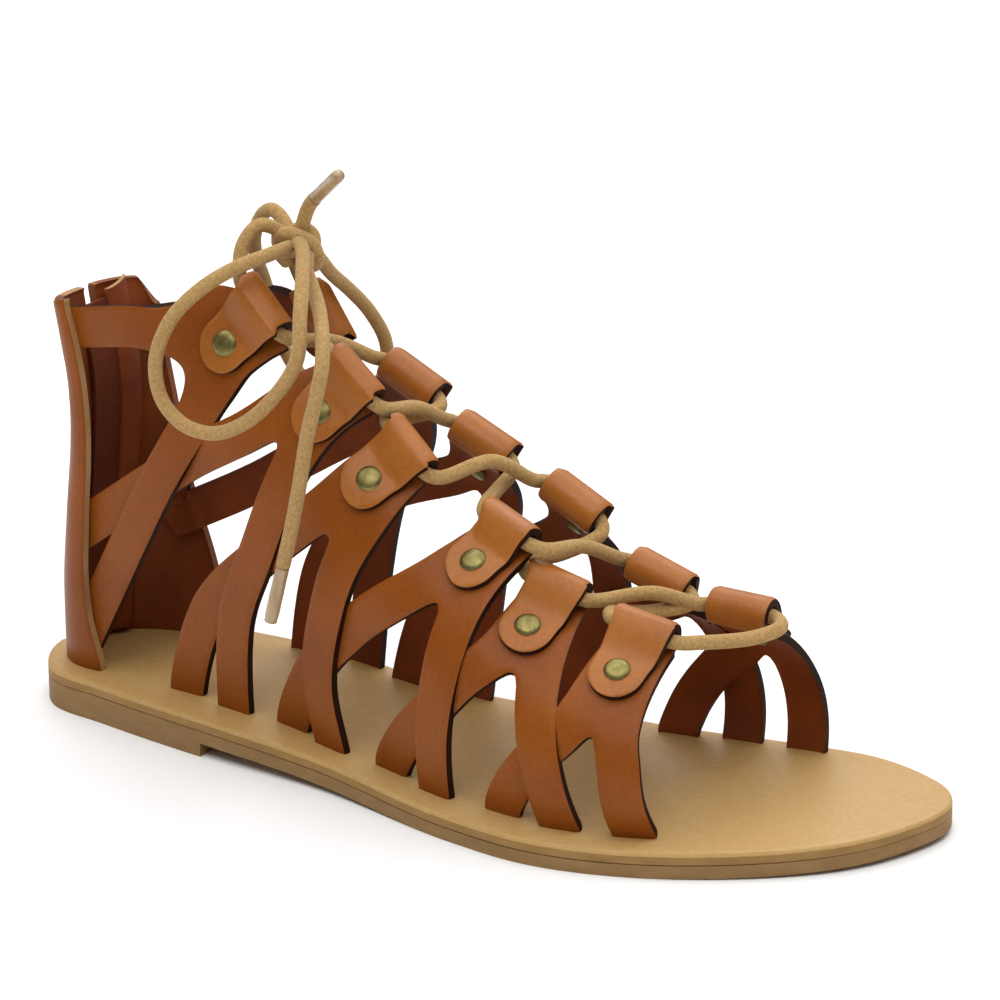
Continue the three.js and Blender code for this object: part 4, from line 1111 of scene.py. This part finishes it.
# the guard behind the zip: a fold of leather that stands a little above the counter's top
guard = {"foot": 12, "belowTop": 1, "start": 0.12, "end": 0.40, "behind": 1.1, "crown": -1.2, "thick": 1.1,
         "columns": 24, "rows": 90, "slope": 8, "level": 0.2}
counterStrip("zipTape", ["tape"] * 4, tape, lambda s: counter["top"] - tape["belowTop"], "zip_tape")
counterStrip("zipGuard", ["lining", "lining", "raw", "rim"], guard, lambda s: (
    counter["top"] - guard["belowTop"] + guard["slope"] * (s - guard["level"])))

teeth = {"foot": 21.5, "length": 83, "pitch": 1.7, "aside": 0.012, "sunk": 1.0, "size": (2.0, 1.7, 0.95),
         "bevel": 0.15}


def makeTeeth():
    whole = bmesh.new()
    pitch = teeth["pitch"]
    size = Matrix.Diagonal((*[value * mm for value in teeth["size"]], 1))
    for k in range(int(teeth["length"] / pitch)):
        for side in (-1, 1):
            z = teeth["foot"] + k * pitch + (pitch / 2 if side > 0 else 0)
            point, normal = counterPoint(z, side * teeth["aside"], -teeth["sunk"])
            turn = Matrix(((normal[1], -normal[0], 0), Vector(normal), (0, 0, 1))).transposed().to_4x4()
            place = Matrix.Translation(Vector(point) * mm) @ turn
            bmesh.ops.create_cube(whole, size=1, matrix=place @ size)
    bmesh.ops.bevel(whole, geom=whole.edges[:], offset=teeth["bevel"] * mm, segments=1, profile=0.5,
                    affect="EDGES", material=-1)
    return finishPiece(whole, "zipTeeth", ["teeth"], "zip_tape", smooth=False)


makeTeeth()

zipPull = {"slider": 97, "width": 5.6, "length": 20, "pinOut": 4.2, "pinUp": 2}


def bevelled(parts, bevel):
    whole = bmesh.new()
    for low, high in parts:
        size = Vector(high) - Vector(low)
        middle = (Vector(high) + Vector(low)) / 2
        made = bmesh.ops.create_cube(whole, size=1, matrix=Matrix.Translation(middle * mm)
                                     @ Matrix.Diagonal((*(size * mm), 1)))
        edges = list({e for v in made["verts"] for e in v.link_edges})
        bmesh.ops.bevel(whole, geom=edges, offset=min(bevel, min(size) * 0.3) * mm, segments=3, profile=0.5,
                        affect="EDGES", material=-1)
    return whole


def makeZipPull():
    z = zipPull["slider"]
    y = float(counterRead["lateral"](z) + counterRead["medial"](z)) / 2
    x = float(counterRead["back"](z + 5))
    pinX, pinZ = x - zipPull["pinOut"], z + zipPull["pinUp"]
    body = bevelled([
        ((x - 1.8, y - 4.2, z - 5), (x - 0.5, y + 4.2, z + 5)),
        ((x - 1, y - 1.8, z - 4), (x - 0.2, y + 1.8, z + 4)),
        ((pinX - 1.2, y + 3.2, pinZ - 1.4), (x - 1, y + 4.2, pinZ + 1.4)),
        ((pinX - 1.2, y - 4.2, pinZ - 1.4), (x - 1, y - 3.2, pinZ + 1.4)),
    ], 0.5)
    pin = Vector((pinX, y, pinZ)) * mm
    bmesh.ops.create_cone(body, cap_ends=True, segments=20, radius1=0.7 * mm, radius2=0.7 * mm, depth=8 * mm,
                          matrix=Matrix.Translation(pin) @ Matrix.Rotation(math.pi / 2, 4, "X"))
    finishPiece(body, "zipSlider", ["brass"], "zip_slider", smooth=False)

    # the pull: a plate with a round end and a raised rim, hung on the pin by an eye
    half, length = zipPull["width"] / 2, zipPull["length"]
    blade = bmesh.new()
    bmesh.ops.create_circle(blade, cap_ends=True, segments=48, radius=1)
    for vert in blade.verts:
        across, down = vert.co.x * half, vert.co.y * half
        shape = down - length if down < 0 else down * 0.4 - 2.2
        vert.co = Vector((pinX, y + across, pinZ + shape)) * mm
    made = bmesh.ops.extrude_face_region(blade, geom=blade.faces[:], use_keep_orig=True)["geom"]
    for part in made:
        if isinstance(part, bmesh.types.BMVert):
            part.co.x -= 0.6 * mm
    for vert in blade.verts:
        vert.co.x += 0.3 * mm
    bmesh.ops.recalc_face_normals(blade, faces=blade.faces)
    broad = [f for f in blade.faces if len(f.verts) > 4]
    bmesh.ops.inset_region(blade, faces=broad, thickness=0.7 * mm, depth=0)
    bmesh.ops.inset_region(blade, faces=broad, thickness=0.25 * mm, depth=-0.12 * mm)
    profile = [(0.95, -half), (1.8, -half), (1.8, half), (0.95, half)]
    ring = [blade.verts.new((pinX * mm + r * mm, (y + h) * mm, pinZ * mm)) for r, h in profile]
    edges = [blade.edges.new(pair) for pair in zip(ring, ring[1:] + ring[:1])]
    bmesh.ops.spin(blade, geom=ring + edges, cent=pin, axis=(0, 1, 0), angle=2 * math.pi, steps=24,
                   use_merge=True)
    # the neck between the eye and the plate
    bmesh.ops.create_cube(blade, size=1, matrix=Matrix.Translation(pin - Vector((0, 0, 2.6)) * mm)
                          @ Matrix.Diagonal((1.2 * mm, 3.4 * mm, 2.2 * mm, 1)))
    bmesh.ops.recalc_face_normals(blade, faces=blade.faces)
    finishPiece(blade, "zipPull", ["brass"], "zip_pull", body="zip_pull", smooth=False)


makeZipPull()
print("counter and zip ready")


# Lace through the loops
# The middle of each crossing rises by this much, by the unit that it comes down from.
lace = {
    "radius": 1.8, "turn": 3.0, "exit": 2.8, "lift": (0.35, 0, 0.93),
    "rise": {
        "medial": {6: 3, 5: 2, 4: 5, 3: 1.8, 2: 2}, "lateral": {6: -1.5, 5: -1.8, 4: -1.5, 3: -2, 2: -2},
    },
}


def loopEnd(side, n, past):
    centre, axis = loopFrame(strap["units"][side][n - 1])
    return centre + axis * past


def laceHalf(first):
    other = {"lateral": "medial", "medial": "lateral"}
    half = strap["loopWidth"] / 2
    points, side = [], first
    for n in range(6, 0, -1):
        points += [loopEnd(side, n, half), loopEnd(side, n, 0), loopEnd(side, n, -half)]
        if n > 1:
            start = loopEnd(side, n, -half - lace["exit"])
            end = loopEnd(other[side], n - 1, half + lace["exit"])

            def turned(name, unit, by):
                axis = loopFrame(strap["units"][name][unit - 1])[1]
                way = end - start
                way = way - axis * way.dot(axis)
                return way / np.linalg.norm(way) * by

            points.append(start + turned(side, n, lace["turn"]))
            points.append((start + end) / 2 + np.array(lace["lift"]) * lace["rise"][side][n])
            points.append(end + turned(other[side], n - 1, -lace["turn"]))
            side = other[side]
    return points, side


arches = {
    "lateral": [(-56.3, -8.5, 127), (-56, -7, 131), (-54.1, -3.5, 134.7), (-52, -0.5, 134),
                (-49, 2.5, 130.5)],
    "medial": [(-53.5, 11.5, 122.5), (-51, 7.5, 127), (-48, 4, 130)],
}
for first in sideNames:
    points, lastSide = laceHalf(first)
    path = curveThrough([*points, *arches[lastSide]])
    finishPiece(tube(path, lace["radius"]), "lace" + first.capitalize(), ["cord"], "lace_crossings")
# the bar at the toe joins the two front loops
bar = [loopEnd("lateral", 6, 0), loopEnd("lateral", 6, 8.5), (70.5, -5, 48.5), (80, 4, 48.5),
       (83.5, 11.5, 49.5), loopEnd("medial", 6, 8.5), loopEnd("medial", 6, 0)]
finishPiece(tube(curveThrough(bar), lace["radius"]), "laceToeBar", ["cord"], "lace_crossings")
print("lace ready")


# Floor and light
floorMaterial = Finish("paleFloor", Roughness=0.7, Specular_IOR_Level=0.2)
floorMaterial.shader.inputs["Base Color"].default_value = (0.92, 0.92, 0.92, 1)
floorMesh = bmesh.new()
bmesh.ops.create_grid(floorMesh, x_segments=1, y_segments=1, size=6)
mesh = bpy.data.meshes.new("floor")
floorMesh.to_mesh(mesh)
floorMesh.free()
floor = bpy.data.objects.new("floor", mesh)
mesh.materials.append(floorMaterial.material)
bpy.context.scene.collection.objects.link(floor)

world = bpy.data.worlds.new("studio")
world.use_nodes = True
world.node_tree.nodes["Background"].inputs[0].default_value = (1, 1, 1, 1)
world.node_tree.nodes["Background"].inputs[1].default_value = 0.2
bpy.context.scene.world = world
bpy.context.scene.view_settings.view_transform = "Standard"

lights = {
    "top": {"place": (0.0, 0.1, 2.0), "size": 4.0, "power": 92},
    "key": {"place": (0.3, -1.0, 1.4), "size": 0.7, "power": 4},
    "back": {"place": (-0.5, 1.5, 1.4), "size": 1.4, "power": 10},
}
for name, value in lights.items():
    data = bpy.data.lights.new(name, "AREA")
    data.size, data.energy = value["size"], value["power"]
    light = bpy.data.objects.new(name, data)
    place = Vector(value["place"])
    light.matrix_world = Matrix.Translation(place) @ (Vector((0, 0, 0.05)) - place).to_track_quat(
        "-Z", "Y").to_matrix().to_4x4()
    bpy.context.scene.collection.objects.link(light)
print("lights ready")
